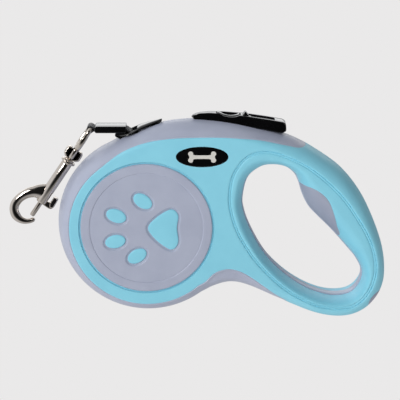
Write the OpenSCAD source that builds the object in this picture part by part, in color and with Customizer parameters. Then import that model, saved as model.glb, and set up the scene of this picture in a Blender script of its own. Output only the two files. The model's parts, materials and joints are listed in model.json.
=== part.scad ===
// Retractable leash: a round reel case with a hand loop, a tape with a bolt snap and a thumb brake.
// X runs from the snap to the hand loop, Y away from the front face, Z up.
// The origin is the middle of the finger opening. Outlines are drawn from the reel axis.

/* [Case] */
// Radius of the round reel end of the case
reel_end_r = 47.8; // [40:0.2:58]
// Thickness of the case over the two flat discs
case_t = 31; // [28:0.5:38]
// Length of the hand loop behind the reel end
loop_len = 82; // [72:1:98]
// Wall of the two grey half shells
shell_wall = 2.4; // [2:0.1:2.8]
// Thickness of the blue face covers
cover_t = 1.8; // [1.5:0.1:2.2]
// Diameter of the flat disc set in each cover
disc_d = 69.4; // [56:0.2:72]

/* [Tape and reel] */
// Width of the woven tape
tape_w = 9; // [8:0.5:10]
// Thickness of the woven tape
tape_t = 0.8; // [0.6:0.1:1]
// Diameter of the fixed axle
axle_d = 8; // [6:0.5:9]
// Outer radius of the reel drum
drum_r = 22.5; // [20:0.5:24]
// Number of ratchet teeth
tooth_count = 24; // [18:1:36]
// Depth of the ratchet teeth
tooth_depth = 1.7; // [1.2:0.1:2]

/* [Brake] */
// Width of the black brake block
brake_w = 10; // [9:0.5:11]
// Travel of the lock slider
lock_travel = 8; // [5:0.5:9]

/* [Snap] */
// Diameter of the bolt snap's barrel
barrel_d = 5.9; // [5.5:0.1:7]
// Diameter of the sliding bolt
bolt_d = 2.7; // [2.2:0.1:2.9]
// Thickness of the hook at its bend
hook_d = 3.6; // [3:0.1:3.8]
// Hang angle of the snap, measured from level
hang_angle = 56; // [50:1:56]

/* [Hidden] */
$fn = 64;

// In-plane scale of the case, and the stretch of the hand loop alone
case_k = reel_end_r / 47.8;
loop_k = loop_len / 82;
neck_x = 45;
// Gap between pieces that move against each other, and a drawn running fit
gap = 0.3;
fit = 0.06;
// Middle of the finger opening from the reel axis
grip_at = at([82, -4]);

half_t = case_t / 2;
face_y = half_t - 0.3;
plate_out = face_y - cover_t;
plate_in = plate_out - 1.6;
// Centre of the round end, a little off the reel axis
end_centre = [0.5, -0.5] * case_k;
skirt_t = 2;
tunnel_wall = 2.2;

channel_half = tape_w / 2 + 0.5;
nozzle_half = channel_half + 2;
flange_t = 1.2;
flange_r = reel_end_r - shell_wall - 1.6;
wound_r = flange_r - 1.5;
axle_r = axle_d / 2;
// Flat head of the axle screw, let into the rear face plate under the disc
axle_head_r = 3;
axle_head_t = 0.9;

lever_pivot = at([50, 42]);
plunger_x = at([38, 0])[0];
button_top = at([0, 59.4])[1];

snap_pivot = at([-29.4, 50.7]);
eye_bar_r = 1.2;
eye_leg_in = tape_w / 2 + 0.8;
eye_leg_t = 1.8;
barrel_start = 19.8;
barrel_end = 48.9;
bolt_tip = 57.8;
// Where the bolt's thumb lever stands on the barrel, and how far it slides back
bolt_base = 46.6;
bolt_travel = 5;

// Outline of the case behind the round end, from the neck's underside round the loop to the nozzle
loop_points = [[36, -35.2], [44.5, -33], [54, -35], [71, -42.5], [88, -49], [100, -51.5], [110, -50.5],
    [119, -45.5], [125.5, -36], [127, -24], [124, -8], [115, 13], [104, 28], [91, 38], [76, 46.5],
    [60, 51.5], [45, 54.5], [30, 55.7], [18, 55.3], [6, 53.3], [-6, 49.2]];
// Finger opening before the soft grip is set in
hole_points = [[50.3, 14], [53, 25], [60, 31], [67, 32.3], [74, 30.4], [80, 26], [88, 18.5], [96, 8],
    [104, -5], [111, -16.5], [115.2, -26], [113.5, -34], [108.5, -39.2], [100.5, -40.7], [92.5, -39.2],
    [84, -35.7], [75, -29.8], [67, -22.5], [60.5, -14.2], [54.5, -3], [51.2, 6]];
// Inner side of the soft grip
grip_points = [[78, 31], [79.7, 25.5], [82.4, 16.5], [86, 9.5], [91, 4], [98, -3], [106.5, -12.5],
    [112, -22], [130, -20], [120, 10], [90, 34]];
// Blue field of the cover where it leaves the round end, below and above
cover_low = [[31, -29.5], [35.5, -25], [40, -23], [44.5, -22.5], [50, -24], [56, -27.5], [62, -32],
    [68, -37], [74, -41.5], [80, -50]];
cover_high = [[88, 48], [84, 43.5], [78.5, 42.7], [70, 44.8], [59.5, 47], [49, 48.2], [38.5, 48.8],
    [28, 48.8], [17.5, 48.2], [8.5, 46.8], [0, 44.6]];
cover_end_r = 41.4 * case_k;
// Centres and tilts of the four toes of the paw
toes = [[-1.8, 14.6, -35], [-15.8, 6.6, -22], [-16.4, -7.4, 12], [-5, -15.4, 32]];
pad_points = [[0.8, 0], [5.5, 6], [13, 10.2], [16.8, 7], [16.2, 0], [16.8, -8], [13, -11.8], [5.5, -7]];
// Half axes of the oval badge
badge_half = [13.95, 5.75];
screw_points = [[70, 40.5], [48, -26], [113, -6], [100, -45.8], [90.5, 29.5]];
heel_points = [[123.5, -38.5], [104, -51.5]];

// Case coordinates of a point given for the standard size
function at(p) = [(p[0] <= 45 ? p[0] : 45 + (p[0] - 45) * loop_k) * case_k, p[1] * case_k];
function all_at(points) = [for (p = points) at(p)];
function arc(centre, r, a0, a1, n) =
    [for (i = [0:n]) centre + r * [cos(a0 + (a1 - a0) * i / n), sin(a0 + (a1 - a0) * i / n)]];
// Smooth curve through four neighbouring points, between the middle two
function spline(a, b, c, d, t) =
    0.5 * (2 * b + (c - a) * t + (2 * a - 5 * b + 4 * c - d) * t * t + (3 * b - a - 3 * c + d) * t * t * t);
function closed_curve(p, steps = 4) = let (m = len(p))
    [for (i = [0:m - 1]) for (j = [0:steps - 1])
        spline(p[(i + m - 1) % m], p[i], p[(i + 1) % m], p[(i + 2) % m], j / steps)];
function open_curve(p, steps = 4) =
    [for (i = [1:len(p) - 3]) for (j = [0:steps - 1]) spline(p[i - 1], p[i], p[i + 1], p[i + 2], j / steps)];

// Whole side outline: the round end as an arc, the rest as one smooth curve
case_arc = arc(end_centre, reel_end_r, 114, 307, 34);
function last(p, back) = p[len(p) - back];
case_curve = open_curve(concat([last(case_arc, 2), last(case_arc, 1)], all_at(loop_points),
    [case_arc[0], case_arc[1]]));
case_outline = concat(case_arc, case_curve);
hole_outline = closed_curve(all_at(hole_points));

module case_2d() { polygon(case_outline); }
module hole_2d() { polygon(hole_outline); }
module round_end_side() { polygon(all_at([[-70, -70], [76, -70], [76, -30], [84, 20], [84, 70], [-70, 70]])); }
module loop_side() { polygon(all_at([[76.1, -70], [76.1, -30], [84.1, 20], [84.1, 70], [150, 70], [150, -70]])); }
module cover_2d() {
    round_part = arc([0.3, -0.8] * case_k, cover_end_r, 106, 311, 30);
    upper = open_curve(concat([at([92, 50])], all_at(cover_high), [round_part[0], round_part[1]]), 3);
    lower = open_curve(concat([last(round_part, 2), last(round_part, 1)], all_at(cover_low), [at([84, -52])]), 3);
    intersection() {
        case_2d();
        polygon(concat(round_part, lower, all_at([[150, -70], [150, 60]]), upper));
    }
}

// Everything is drawn from the reel axis and moved so that the origin is in the finger opening
module place() { translate([-grip_at[0], 0, -grip_at[1]]) children(); }
// A side-view shape made solid from depth y0 to depth y1
module slab(y0, y1) { translate([0, y1, 0]) rotate([90, 0, 0]) linear_extrude(y1 - y0) children(); }
module rod(p, r, y0, y1) { translate([p[0], y1, p[1]]) rotate([90, 0, 0]) cylinder(h = y1 - y0, r = r); }
module both_sides(rear) { mirror([0, rear ? 1 : 0, 0]) children(); }

// One wall layer of a half shell, inset on the round end and set inside the cover's skirt on the loop
module shell_layer(inset) {
    difference() {
        union() {
            intersection() {
                offset(delta = -inset) case_2d();
                round_end_side();
            }
            offset(delta = -max(inset, skirt_t)) case_2d();
        }
        hole_2d();
    }
}
module shell_ring(inset) {
    difference() {
        shell_layer(inset);
        difference() {
            offset(delta = -inset - shell_wall) case_2d();
            offset(delta = tunnel_wall) hole_2d();
            intersection() {
                difference() { case_2d(); offset(delta = -skirt_t - shell_wall) case_2d(); }
                loop_side();
            }
        }
    }
}
// Grey half shell on the front side, from its parting face to its face plate
module half_shell(rear) {
    step1 = -plate_out * 0.37;
    step2 = -plate_out * 0.63;
    step3 = -plate_out * 0.84;
    difference() {
        union() {
            slab(step1, 0) shell_ring(0);
            slab(step2, step1) shell_ring(0.5);
            slab(step3, step2) shell_ring(1.5);
            slab(-plate_out, step3) shell_ring(3);
            slab(-plate_out, -plate_in) shell_layer(3);
            rod([0, 0], axle_r + 2, -plate_in, -channel_half - flange_t - 0.6);
            rod(lever_pivot, 3, -plate_in, -channel_half - flange_t - 1.2);
            for (p = screw_points) rod(at(p), 2.9, -plate_in, 0);
            if (rear) spring_seat();
        }
        rod([0, 0], axle_r + 0.02, -plate_in, 0);
        rod(lever_pivot, 1.52, -plate_in, 0);
        slab(-nozzle_half, 1) nozzle_2d();
        slab(-brake_w / 2, 1) bezel_2d();
        for (p = screw_points) rod(at(p), rear ? 1.5 : 1.25, rear ? -plate_out - 1 : -plate_in, 1);
        if (rear) {
            rod([0, 0], 1.6, -plate_out - 1, 0);
            rod([0, 0], axle_head_r + 0.05, -plate_out - 1, -plate_out + axle_head_t);
        }
    }
}
// Shelf that carries the brake spring; it reaches from the rear shell past the middle plane
module spring_seat() {
    seat = at([38, 35]);
    translate([seat[0] - 3.5, -plate_in, seat[1] - 2]) cube([7, plate_in + 3, 2]);
}

module face_cover(rear) {
    difference() {
        union() {
            slab(-face_y, -plate_out) cover_2d();
            slab(-plate_out, 0) intersection() {
                difference() {
                    case_2d();
                    offset(delta = -skirt_t) case_2d();
                }
                loop_side();
            }
        }
        slab(-half_t, 1) hole_2d();
        rod([0, 0], disc_d / 2 + gap, -half_t, -plate_out + 1);
        slab(-half_t, -face_y + 0.9) badge_2d(0.1);
        for (p = heel_points) rod(at(p), 2.2, -6, 1);
        if (rear) for (p = screw_points) rod(at(p), 2.8, -half_t, -plate_out + 1);
    }
}
module badge_2d(grow) {
    translate(at([29.3, 38.6])) scale([badge_half[0] + grow, badge_half[1] + grow]) circle(1);
}
module toe_2d(toe, grow) {
    translate([toe[0], toe[1]] * case_k) rotate(toe[2]) scale([5.5 + grow, 3.65 + grow]) circle(1, $fn = 32);
}
module paw_2d(grow) {
    for (toe = toes) toe_2d(toe, grow);
    offset(delta = grow) polygon(closed_curve(pad_points * case_k));
}
module face_disc() {
    difference() {
        rod([0, 0], disc_d / 2, -half_t, -plate_out);
        rod([0, 0], disc_d / 2 - 4.8, -half_t - 1, -half_t + 0.5);
        slab(-half_t - 1, -half_t + 1.2) paw_2d(1.3);
    }
}
module paw_pads() { slab(-half_t + 0.3, -half_t + 1.2) paw_2d(0); }
module badge() { slab(-face_y - 0.2, -face_y + 0.9) badge_2d(0); }

module nozzle_2d() {
    polygon(all_at([[7.5, 55.6], [-3.6, 53.3], [-5.2, 51.9], [-9, 48.6], [-16.8, 45.2], [-13.5, 42.5],
        [-4, 45], [4, 47.5], [9.5, 50.5]]));
}
function tape_path() = let (a = 69, r = wound_r + gap + tape_t / 2)
    [[r * cos(a), r * sin(a)], [snap_pivot[0] + 20.4, snap_pivot[1] - 0.9], [snap_pivot[0] + 19.1, snap_pivot[1]]];
function thick_line(p, t) = let (n = len(p))
    concat([for (i = [0:n - 1]) p[i] + t / 2 * side_of(p, i)],
        [for (i = [n - 1:-1:0]) p[i] - t / 2 * side_of(p, i)]);
function side_of(p, i) = let (a = p[max(i - 1, 0)], b = p[min(i + 1, len(p) - 1)], d = (b - a) / norm(b - a))
    [-d[1], d[0]];

module front_shell() { color("#aeb4c4") place() half_shell(false); }
module rear_shell() { color("#aeb4c4") place() both_sides(true) half_shell(true); }
module front_cover() { color("#8dcfe0") place() face_cover(false); }
module rear_cover() { color("#8dcfe0") place() both_sides(true) face_cover(true); }
module front_disc() { color("#a7adbf") place() face_disc(); }
module rear_disc() { color("#a7adbf") place() both_sides(true) face_disc(); }
module front_paw_pads() { color("#8dcfe0") place() paw_pads(); }
module rear_paw_pads() { color("#8dcfe0") place() both_sides(true) paw_pads(); }
module front_badge() { color("#111214") place() badge(); }
module rear_badge() { color("#111214") place() both_sides(true) badge(); }

// Soft swelling on the inner side of the loop, under the fingers
module finger_grip() {
    color("#9da3b6") place() slab(-half_t * 0.6, half_t * 0.6) intersection() {
        hole_2d();
        polygon(closed_curve(all_at(grip_points)));
    }
}
// Two soft plugs let into the heel of the loop, flush with the skirt
module heel_pads() {
    color("#9da3b6") place() for (p = heel_points) intersection() {
        rod(at(p), 2, -5.8, 5.8);
        slab(-6, 6) difference() {
            case_2d();
            offset(delta = -skirt_t) case_2d();
        }
    }
}
module case_screws() {
    head_y = face_y - 0.4;
    color("#8f9296") place() for (p = screw_points) difference() {
        union() {
            rod(at(p), 2.6, plate_out, head_y);
            rod(at(p), 1.2, -plate_in + 1, plate_out);
        }
        translate([at(p)[0] - 0.4, head_y - 0.8, at(p)[1] - 1.6]) cube([0.8, 1, 3.2]);
        translate([at(p)[0] - 1.6, head_y - 0.8, at(p)[1] - 0.4]) cube([3.2, 1, 0.8]);
    }
}
// Fixed axle with a slot for the inner end of the power spring
module axle() {
    color("#c9cbd0") place() difference() {
        rod([0, 0], axle_r, -plate_in, plate_in);
        translate([-0.4, -channel_half + 1, 0]) cube([0.8, 2 * channel_half - 2, axle_d]);
        rod([0, 0], 1.25, plate_in - 6, plate_in + 1);
    }
}
module axle_screw() {
    color("#8f9296") place() union() {
        rod([0, 0], axle_head_r, plate_out - axle_head_t, plate_out);
        rod([0, 0], 1.2, plate_in - 5.5, plate_out - axle_head_t);
    }
}
module tape_nozzle() {
    color("#111214") place() difference() {
        slab(-nozzle_half, nozzle_half) nozzle_2d();
        slab(-channel_half, channel_half) polygon(thick_line(concat([at([20, 38.4])], [tape_path()[1],
            [tape_path()[2][0] - 12, tape_path()[2][1] + 1.5]]), 3.4));
    }
}
module tape_run() {
    color("#303236") place() slab(-tape_w / 2, tape_w / 2) polygon(thick_line(tape_path(), tape_t));
}

// Drum with its rear flange; the power spring lies inside the drum
module reel() {
    wall = 2;
    color("#e8e8e6") place() difference() {
        union() {
            rod([0, 0], drum_r, -channel_half, channel_half);
            rod([0, 0], flange_r, channel_half, channel_half + flange_t);
        }
        rod([0, 0], drum_r - wall, -channel_half - 1, channel_half - 0.2);
        rod([0, 0], drum_r - wall + 0.9, -channel_half - 1, -channel_half + 1);
        rod([0, 0], axle_r + fit, -channel_half - 1, channel_half + flange_t + 1);
    }
}
// Front flange, toothed round its rim for the brake
module reel_flange() {
    pitch = 360 / tooth_count;
    tip = flange_r;
    root = flange_r - tooth_depth;
    teeth = [for (i = [0:tooth_count - 1]) for (q = [[0, root], [0.35, root], [0.5, tip], [0.95, tip]])
        q[1] * [cos((i + q[0]) * pitch), sin((i + q[0]) * pitch)]];
    color("#e8e8e6") place() difference() {
        slab(-channel_half - flange_t, -channel_half) polygon(teeth);
        rod([0, 0], drum_r - 4, -channel_half - 2, 0);
    }
}
module spring_cover() {
    color("#d8d8d6") place() difference() {
        rod([0, 0], drum_r - 1.2, -channel_half, -channel_half + 1);
        rod([0, 0], axle_r + fit, -half_t, 0);
    }
}
// Flat spiral spring, lying slack against the drum wall
module power_spring() {
    turns = 9;
    strip = 0.4;
    outer = drum_r - 2.3;
    pitch = 0.6;
    steps = turns * 24;
    path = [for (i = [0:steps]) (outer - pitch * i / 24) * [cos(15 * i), sin(15 * i)]];
    inner = (outer - pitch * turns) * [1, 0];
    tail = [for (i = [1:10]) (inner[0] + (axle_r + 0.6 - inner[0]) * i / 10) * [cos(18 * i), sin(18 * i)]];
    color("#b9bcc2") place() slab(-channel_half + 1.6, channel_half - 0.8)
        polygon(thick_line(concat(path, tail), strip));
}
module tape_coil() {
    color("#303236") place() difference() {
        rod([0, 0], wound_r, -tape_w / 2, tape_w / 2);
        rod([0, 0], drum_r + 0.1, -tape_w, tape_w);
    }
}

module bezel_2d() {
    polygon(all_at([[24, 56.8], [27.5, 58.5], [33, 58.7], [50, 57.9], [53.5, 57.5], [73, 54.6], [73.4, 48.2],
        [71, 46.6], [60, 49.4], [45, 51.6], [30, 52.8], [25.5, 53.4]]));
}
module brake_bezel() {
    x0 = at([33, 0])[0];
    x1 = x0 + 17;
    tip_x = at([23.5, 0])[0];
    color("#111214") place() difference() {
        slab(-brake_w / 2, brake_w / 2) bezel_2d();
        translate([x0, -brake_w / 2 + 1.4, 0]) cube([x1 - x0, brake_w - 2.8, 100 * case_k]);
        translate([x1 - 1, -1.7, 0]) cube([lock_travel + 10, 3.4, 100 * case_k]);
        intersection() {
            translate([x1 - 1, -brake_w / 2 + 1.4, 0]) cube([lock_travel + 12, brake_w - 2.8, 100 * case_k]);
            slab(-brake_w, brake_w) translate([0, -1.5]) bezel_2d();
        }
        for (m = [0, 1]) mirror([0, m, 0]) translate([0, 0, 40 * case_k]) linear_extrude(30 * case_k)
            polygon([[tip_x - 1, 1.2], [tip_x + 8.5, brake_w / 2 + 0.01], [tip_x - 1, brake_w / 2 + 1]]);
    }
}
// Thumb button: a ramp with a dished top, a retaining foot and the plunger over the brake lever
module brake_button() {
    x0 = at([33, 0])[0] + gap;
    w = brake_w - 2.8 - 2 * gap;
    foot_z = lever_pivot[1] + 6.8;
    color("#151618") place() difference() {
        union() {
            translate([x0, -w / 2, foot_z]) cube([16.2, w, button_top - foot_z]);
            translate([x0, -w / 2 - 1, foot_z]) cube([16.2, w + 2, 1.2]);
            translate([plunger_x - 2, -2, lever_pivot[1] + 3.8]) cube([4, 4, 4]);
        }
        rod([x0 + 11, button_top + 10.5], 12, -20, 20);
        translate([x0 - 4, -20, button_top + 0.3]) rotate([0, 8, 0]) mirror([1, 0, 0]) cube([4, 40, 4]);
    }
}
// Toothed lever: the plunger turns it down into the ratchet
module brake_lever() {
    y0 = -channel_half - flange_t - 0.6;
    y1 = -channel_half + 0.2;
    nose = at([27.6, 36.4]);
    px = plunger_x;
    pz = lever_pivot[1] + 2;
    color("#d8d8d6") place() difference() {
        union() {
            slab(y0, y1) polygon([lever_pivot + [0, 2.6], [px, pz + 1.3], nose + [2, 4.2], nose + [-0.4, 1.2],
                nose, nose + [2.2, 1], [px, pz - 1.6], lever_pivot + [0, -2.6]]);
            rod(lever_pivot, 3, y0, 3);
            rod([px, pz], 1.5, y0, 3);
        }
        rod(lever_pivot, 1.5 + fit, -half_t, half_t);
    }
}
module lever_pin() { color("#c9cbd0") place() rod(lever_pivot, 1.5, -plate_in, plate_in); }
// Helical wire as one closed swept body
module coil_wire(r, wire_r, height, turns) {
    ring = 6;
    n = turns * 12;
    points = [for (i = [0:n]) for (j = [0:ring - 1]) let (a = i * 30, b = j * 60, q = r + wire_r * cos(b))
        [q * cos(a), q * sin(a), wire_r + (height - 2 * wire_r) * i / n + wire_r * sin(b)]];
    faces = concat([[for (j = [0:ring - 1]) j]], [[for (j = [ring - 1:-1:0]) n * ring + j]],
        [for (i = [0:n - 1]) for (j = [0:ring - 1]) let (k = (j + 1) % ring)
            [i * ring + k, i * ring + j, (i + 1) * ring + j, (i + 1) * ring + k]]);
    polyhedron(points, faces, convexity = 8);
}
module brake_spring() {
    seat_z = at([38, 35])[1];
    color("#b9bcc2") place() translate([plunger_x, 0, seat_z + 0.05])
        coil_wire(2, 0.3, lever_pivot[1] + 0.4 - seat_z, 5);
}
// Ridged slider that holds the button down when it is drawn back along its slot
module lock_slider() {
    x0 = at([50, 0])[0];
    top = at([51.6, 59.9]);
    base_z = at([0, 57.95])[1];
    color("#151618") place() union() {
        slab(-brake_w / 2, brake_w / 2) polygon([[x0, base_z + 0.3], top + [-0.4, -0.1], top + [0.4, -0.1],
            [x0 + 4, base_z - 0.15]]);
        translate([x0 + 0.4, -1.4, base_z - 2]) cube([3.2, 2.8, 2.6]);
    }
}

module tape_stopper() {
    x0 = snap_pivot[0] + 2.4;
    color("#151618") place() difference() {
        translate([x0, 0, snap_pivot[1]]) rotate([0, 90, 0]) linear_extrude(16.4) stopper_end_2d();
        for (m = [0, 1]) translate([x0 + 8.2, 0, snap_pivot[1]]) mirror([m, 0, 0]) mirror([0, 0, 1])
            translate([8.2, -10, -1.8]) rotate([0, -45, 0]) cube([2, 20, 0.8], center = false);
    }
}
module stopper_end_2d() {
    w = tape_w / 2 + 0.5;
    polygon([[-1.8, -w + 0.6], [-1.2, -w], [1.2, -w], [1.8, -w + 0.6], [1.8, w - 0.6], [1.2, w], [-1.2, w],
        [-1.8, w - 0.6]]);
}
module tape_loop() {
    color("#303236") place() difference() {
        union() {
            rod(snap_pivot, eye_bar_r + 0.1 + tape_t, -tape_w / 2, tape_w / 2);
            translate([snap_pivot[0], -tape_w / 2, snap_pivot[1] - tape_t]) cube([2.4, tape_w, 2 * tape_t]);
        }
        rod(snap_pivot, eye_bar_r + 0.1, -tape_w, tape_w);
    }
}

// The snap hangs from its pivot: X runs down its barrel, Y to the case side, Z to the front
module hang() {
    translate([snap_pivot[0], 0, snap_pivot[1]]) rotate([90, 0, 0]) rotate([0, 0, 180 + hang_angle]) children();
}
module along(s0, s1, r) { translate([s0, 0, 0]) rotate([0, 90, 0]) cylinder(h = s1 - s0, r = r); }
module swivel_eye() {
    outer = eye_leg_in + eye_leg_t;
    color("#c4c0ba") place() hang() union() {
        translate([0, 0, -outer]) cylinder(h = 2 * outer, r = eye_bar_r);
        for (m = [0, 1]) mirror([0, 0, m]) translate([-1.4, -2.2, eye_leg_in]) cube([14.4, 4.4, eye_leg_t]);
        translate([11.4, -2.2, -outer]) cube([2.2, 4.4, 2 * outer]);
        translate([13.6, -4.9, -2.6]) cube([5.9, 9.8, 5.2]);
        along(19.4, 24, 1.5);
        along(24, 25.2, 2.2);
    }
}
module snap_body() {
    bend = [57.2, -5.3];
    bend_r = 6.1;
    arm_r = 15.5;
    color("#c4c0ba") place() hang() difference() {
        union() {
            along(barrel_start, barrel_start + 2.6, 4.45);
            along(barrel_start, barrel_end, barrel_d / 2);
            translate([bend[0], bend[1], 0]) rotate([0, 0, -90]) rotate_extrude(angle = 165)
                translate([bend_r, 0]) circle(hook_d / 2, $fn = 32);
            translate([bend[0], bend[1] - bend_r + arm_r, 0]) rotate([0, 0, -155]) rotate_extrude(angle = 65)
                translate([arm_r, 0]) circle(hook_d / 2, $fn = 32);
            translate([0, bend[1] - bend_r, 0]) along(bend[0] - 0.3, bend[0] + 0.3, hook_d / 2 + 0.05);
        }
        along(barrel_start - 1, 25, 1.5 + fit);
        along(barrel_start + 3, 25.6, 2.4);
        along(26.6, barrel_end + 1, bolt_d / 2 + 0.1);
        translate([bolt_base - bolt_travel - 0.4, 0, -1.3]) cube([30, 5, 2.6]);
    }
}
// Sliding bolt with its bent thumb lever
module snap_bolt() {
    color("#cfcbc5") place() hang() union() {
        along(38, bolt_tip, bolt_d / 2);
        translate([bolt_base, 0, -1.1]) cube([2.2, 6.2, 2.2]);
        translate([0, 0, -1.1]) linear_extrude(2.2)
            polygon([[bolt_base + 2.2, 4.2], [bolt_base + 2.2, 6.2], [42, 6.7], [42, 4.9], [bolt_base, 4.2]]);
    }
}
module bolt_spring() {
    color("#b9bcc2") place() hang() translate([26.7, 0, 0]) rotate([0, 90, 0])
        coil_wire(1, 0.2, 11.2, 9);
}

front_shell();
rear_shell();
front_cover();
rear_cover();
front_disc();
rear_disc();
front_paw_pads();
rear_paw_pads();
front_badge();
rear_badge();
finger_grip();
heel_pads();
case_screws();
axle();
axle_screw();
tape_nozzle();
tape_run();
reel();
reel_flange();
spring_cover();
power_spring();
tape_coil();
brake_bezel();
brake_button();
brake_lever();
lever_pin();
brake_spring();
lock_slider();
tape_stopper();
tape_loop();
swivel_eye();
snap_body();
snap_bolt();
bolt_spring();
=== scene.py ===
"""Looks of the retractable leash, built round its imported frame.

Shapes are worked out in millimetres from the reel axis: x runs to the hand loop, z up and h towards
the front face. A Place turns them into the frame's own metres.
"""

import json
import logging
import math
from dataclasses import dataclass, field
from enum import Enum
from typing import Any, Callable, Iterable, Optional, Sequence

import bmesh
import bpy
import numpy as np
from mathutils import Matrix, Vector
from mathutils.geometry import delaunay_2d_cdt

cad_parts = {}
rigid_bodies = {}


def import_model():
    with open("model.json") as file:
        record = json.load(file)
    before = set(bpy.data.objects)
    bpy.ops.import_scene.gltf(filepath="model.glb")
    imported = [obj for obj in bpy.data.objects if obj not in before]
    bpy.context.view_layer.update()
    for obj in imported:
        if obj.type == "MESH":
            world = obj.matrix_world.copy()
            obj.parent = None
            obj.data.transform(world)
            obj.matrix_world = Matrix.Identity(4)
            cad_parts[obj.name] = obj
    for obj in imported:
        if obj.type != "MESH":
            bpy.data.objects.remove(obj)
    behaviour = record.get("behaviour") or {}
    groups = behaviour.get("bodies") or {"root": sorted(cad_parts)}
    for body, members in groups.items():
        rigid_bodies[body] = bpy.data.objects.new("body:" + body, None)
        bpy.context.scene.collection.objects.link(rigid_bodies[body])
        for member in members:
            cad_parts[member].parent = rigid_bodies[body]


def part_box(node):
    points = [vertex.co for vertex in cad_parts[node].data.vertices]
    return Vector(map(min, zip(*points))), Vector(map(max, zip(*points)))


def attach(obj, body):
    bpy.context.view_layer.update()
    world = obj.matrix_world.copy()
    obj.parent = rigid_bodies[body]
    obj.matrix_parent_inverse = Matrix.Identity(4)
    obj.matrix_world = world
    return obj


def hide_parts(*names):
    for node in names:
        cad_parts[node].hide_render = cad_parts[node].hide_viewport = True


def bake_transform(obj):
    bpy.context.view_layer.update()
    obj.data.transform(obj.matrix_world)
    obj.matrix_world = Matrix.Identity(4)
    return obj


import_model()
LOG = logging.getLogger("leash")
Points = np.ndarray
MM = 0.001


# --------------------------------------------------------------------------------------------------
# Lines in the plane
# --------------------------------------------------------------------------------------------------
def respace(line: Points, step: float, closed: bool) -> Points:
    """Spreads points evenly along a line.

    Args:
        line: Points of the line.
        step: Wanted distance between neighbours.
        closed: Whether the last point joins the first.

    Returns:
        The evenly spaced points, without a repeated end on a closed line.
    """
    run = np.vstack([line, line[:1]]) if closed else line
    along = np.concatenate([[0.0], np.cumsum(np.linalg.norm(np.diff(run, axis=0), axis=1))])
    count = max(3, int(round(along[-1] / step)))
    at = np.linspace(0.0, along[-1], count + 1)
    out = np.stack([np.interp(at, along, run[:, k]) for k in range(run.shape[1])], axis=1)
    return out[:-1] if closed else out


def spline(points: Sequence[Sequence[float]], closed: bool, step: float) -> Points:
    """Draws a smooth curve through points.

    Args:
        points: Points to pass through; on an open curve the first and last only steer it.
        closed: Whether the curve returns to its start.
        step: Distance between the points of the result.

    Returns:
        Evenly spaced points of the curve.
    """
    p = np.asarray(points, dtype=float)
    n = len(p)
    t = np.linspace(0.0, 1.0, 12, endpoint=False)[:, None]
    parts = []
    for i in range(n) if closed else range(1, n - 2):
        a, b, c, d = p[(i - 1) % n], p[i % n], p[(i + 1) % n], p[(i + 2) % n]
        parts.append(
            0.5 * (2 * b + (c - a) * t + (2 * a - 5 * b + 4 * c - d) * t**2 + (3 * b - a - 3 * c + d) * t**3)
        )
    curve = np.vstack(parts)
    if not closed:
        curve = np.vstack([curve, p[-2:-1]])
    return respace(curve, step, closed)


def arc(centre: Sequence[float], radius: float, start: float, end: float, count: int) -> Points:
    """Points of an arc, with its angles in degrees."""
    a = np.radians(np.linspace(start, end, count + 1))
    return np.stack([centre[0] + radius * np.cos(a), centre[1] + radius * np.sin(a)], axis=1)


def ellipse(centre: Sequence[float], half: Sequence[float], tilt: float, count: int) -> Points:
    """Points of an ellipse turned by tilt degrees."""
    a = np.linspace(0.0, 2 * math.pi, count, endpoint=False)
    u, v = half[0] * np.cos(a), half[1] * np.sin(a)
    c, s = math.cos(math.radians(tilt)), math.sin(math.radians(tilt))
    return np.stack([centre[0] + u * c - v * s, centre[1] + u * s + v * c], axis=1)


def fillet(points: Sequence[Sequence[float]], radius: float, steps: int = 4) -> Points:
    """Rounds every corner of a closed outline.

    Args:
        points: Corners of the outline.
        radius: How far the rounding reaches along each side, at most.
        steps: Points on each rounded corner, less one.

    Returns:
        The outline with rounded corners.
    """
    p = np.asarray(points, dtype=float)
    out = []
    for i, corner in enumerate(p):
        before, after = p[i - 1] - corner, p[(i + 1) % len(p)] - corner
        lb, la = np.linalg.norm(before), np.linalg.norm(after)
        reach = min(radius, 0.45 * lb, 0.45 * la)
        a, b = corner + before / lb * reach, corner + after / la * reach
        for t in np.linspace(0.0, 1.0, steps + 1):
            out.append((1 - t) ** 2 * a + 2 * t * (1 - t) * corner + t**2 * b)
    return np.array(out)


def turned_in(line: Points) -> Points:
    """Unit normals of a closed line that runs anticlockwise, pointing inwards."""
    d = np.roll(line, -1, axis=0) - np.roll(line, 1, axis=0)
    n = np.stack([-d[:, 1], d[:, 0]], axis=1)
    return n / np.maximum(np.linalg.norm(n, axis=1, keepdims=True), 1e-9)


def anticlockwise(line: Points) -> Points:
    """The closed line, turned round if it ran clockwise."""
    x, y = line[:, 0], line[:, 1]
    area = np.sum(x * np.roll(y, -1) - np.roll(x, -1) * y)
    return line if area > 0 else line[::-1]


def distance(q: Points, line: Points) -> Points:
    """Distance from each point to a closed line.

    Args:
        q: Points to measure from.
        line: Closed line.

    Returns:
        One distance for each point.
    """
    a, b = line, np.roll(line, -1, axis=0)
    ab = b - a
    span = np.maximum(np.sum(ab * ab, axis=1), 1e-12)
    out = np.empty(len(q))
    for lo in range(0, len(q), 2000):
        part = q[lo : lo + 2000, None, :]
        t = np.clip(np.sum((part - a) * ab, axis=2) / span, 0.0, 1.0)
        gap = part - (a + t[..., None] * ab)
        out[lo : lo + 2000] = np.sqrt(np.min(np.sum(gap * gap, axis=2), axis=1))
    return out


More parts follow.
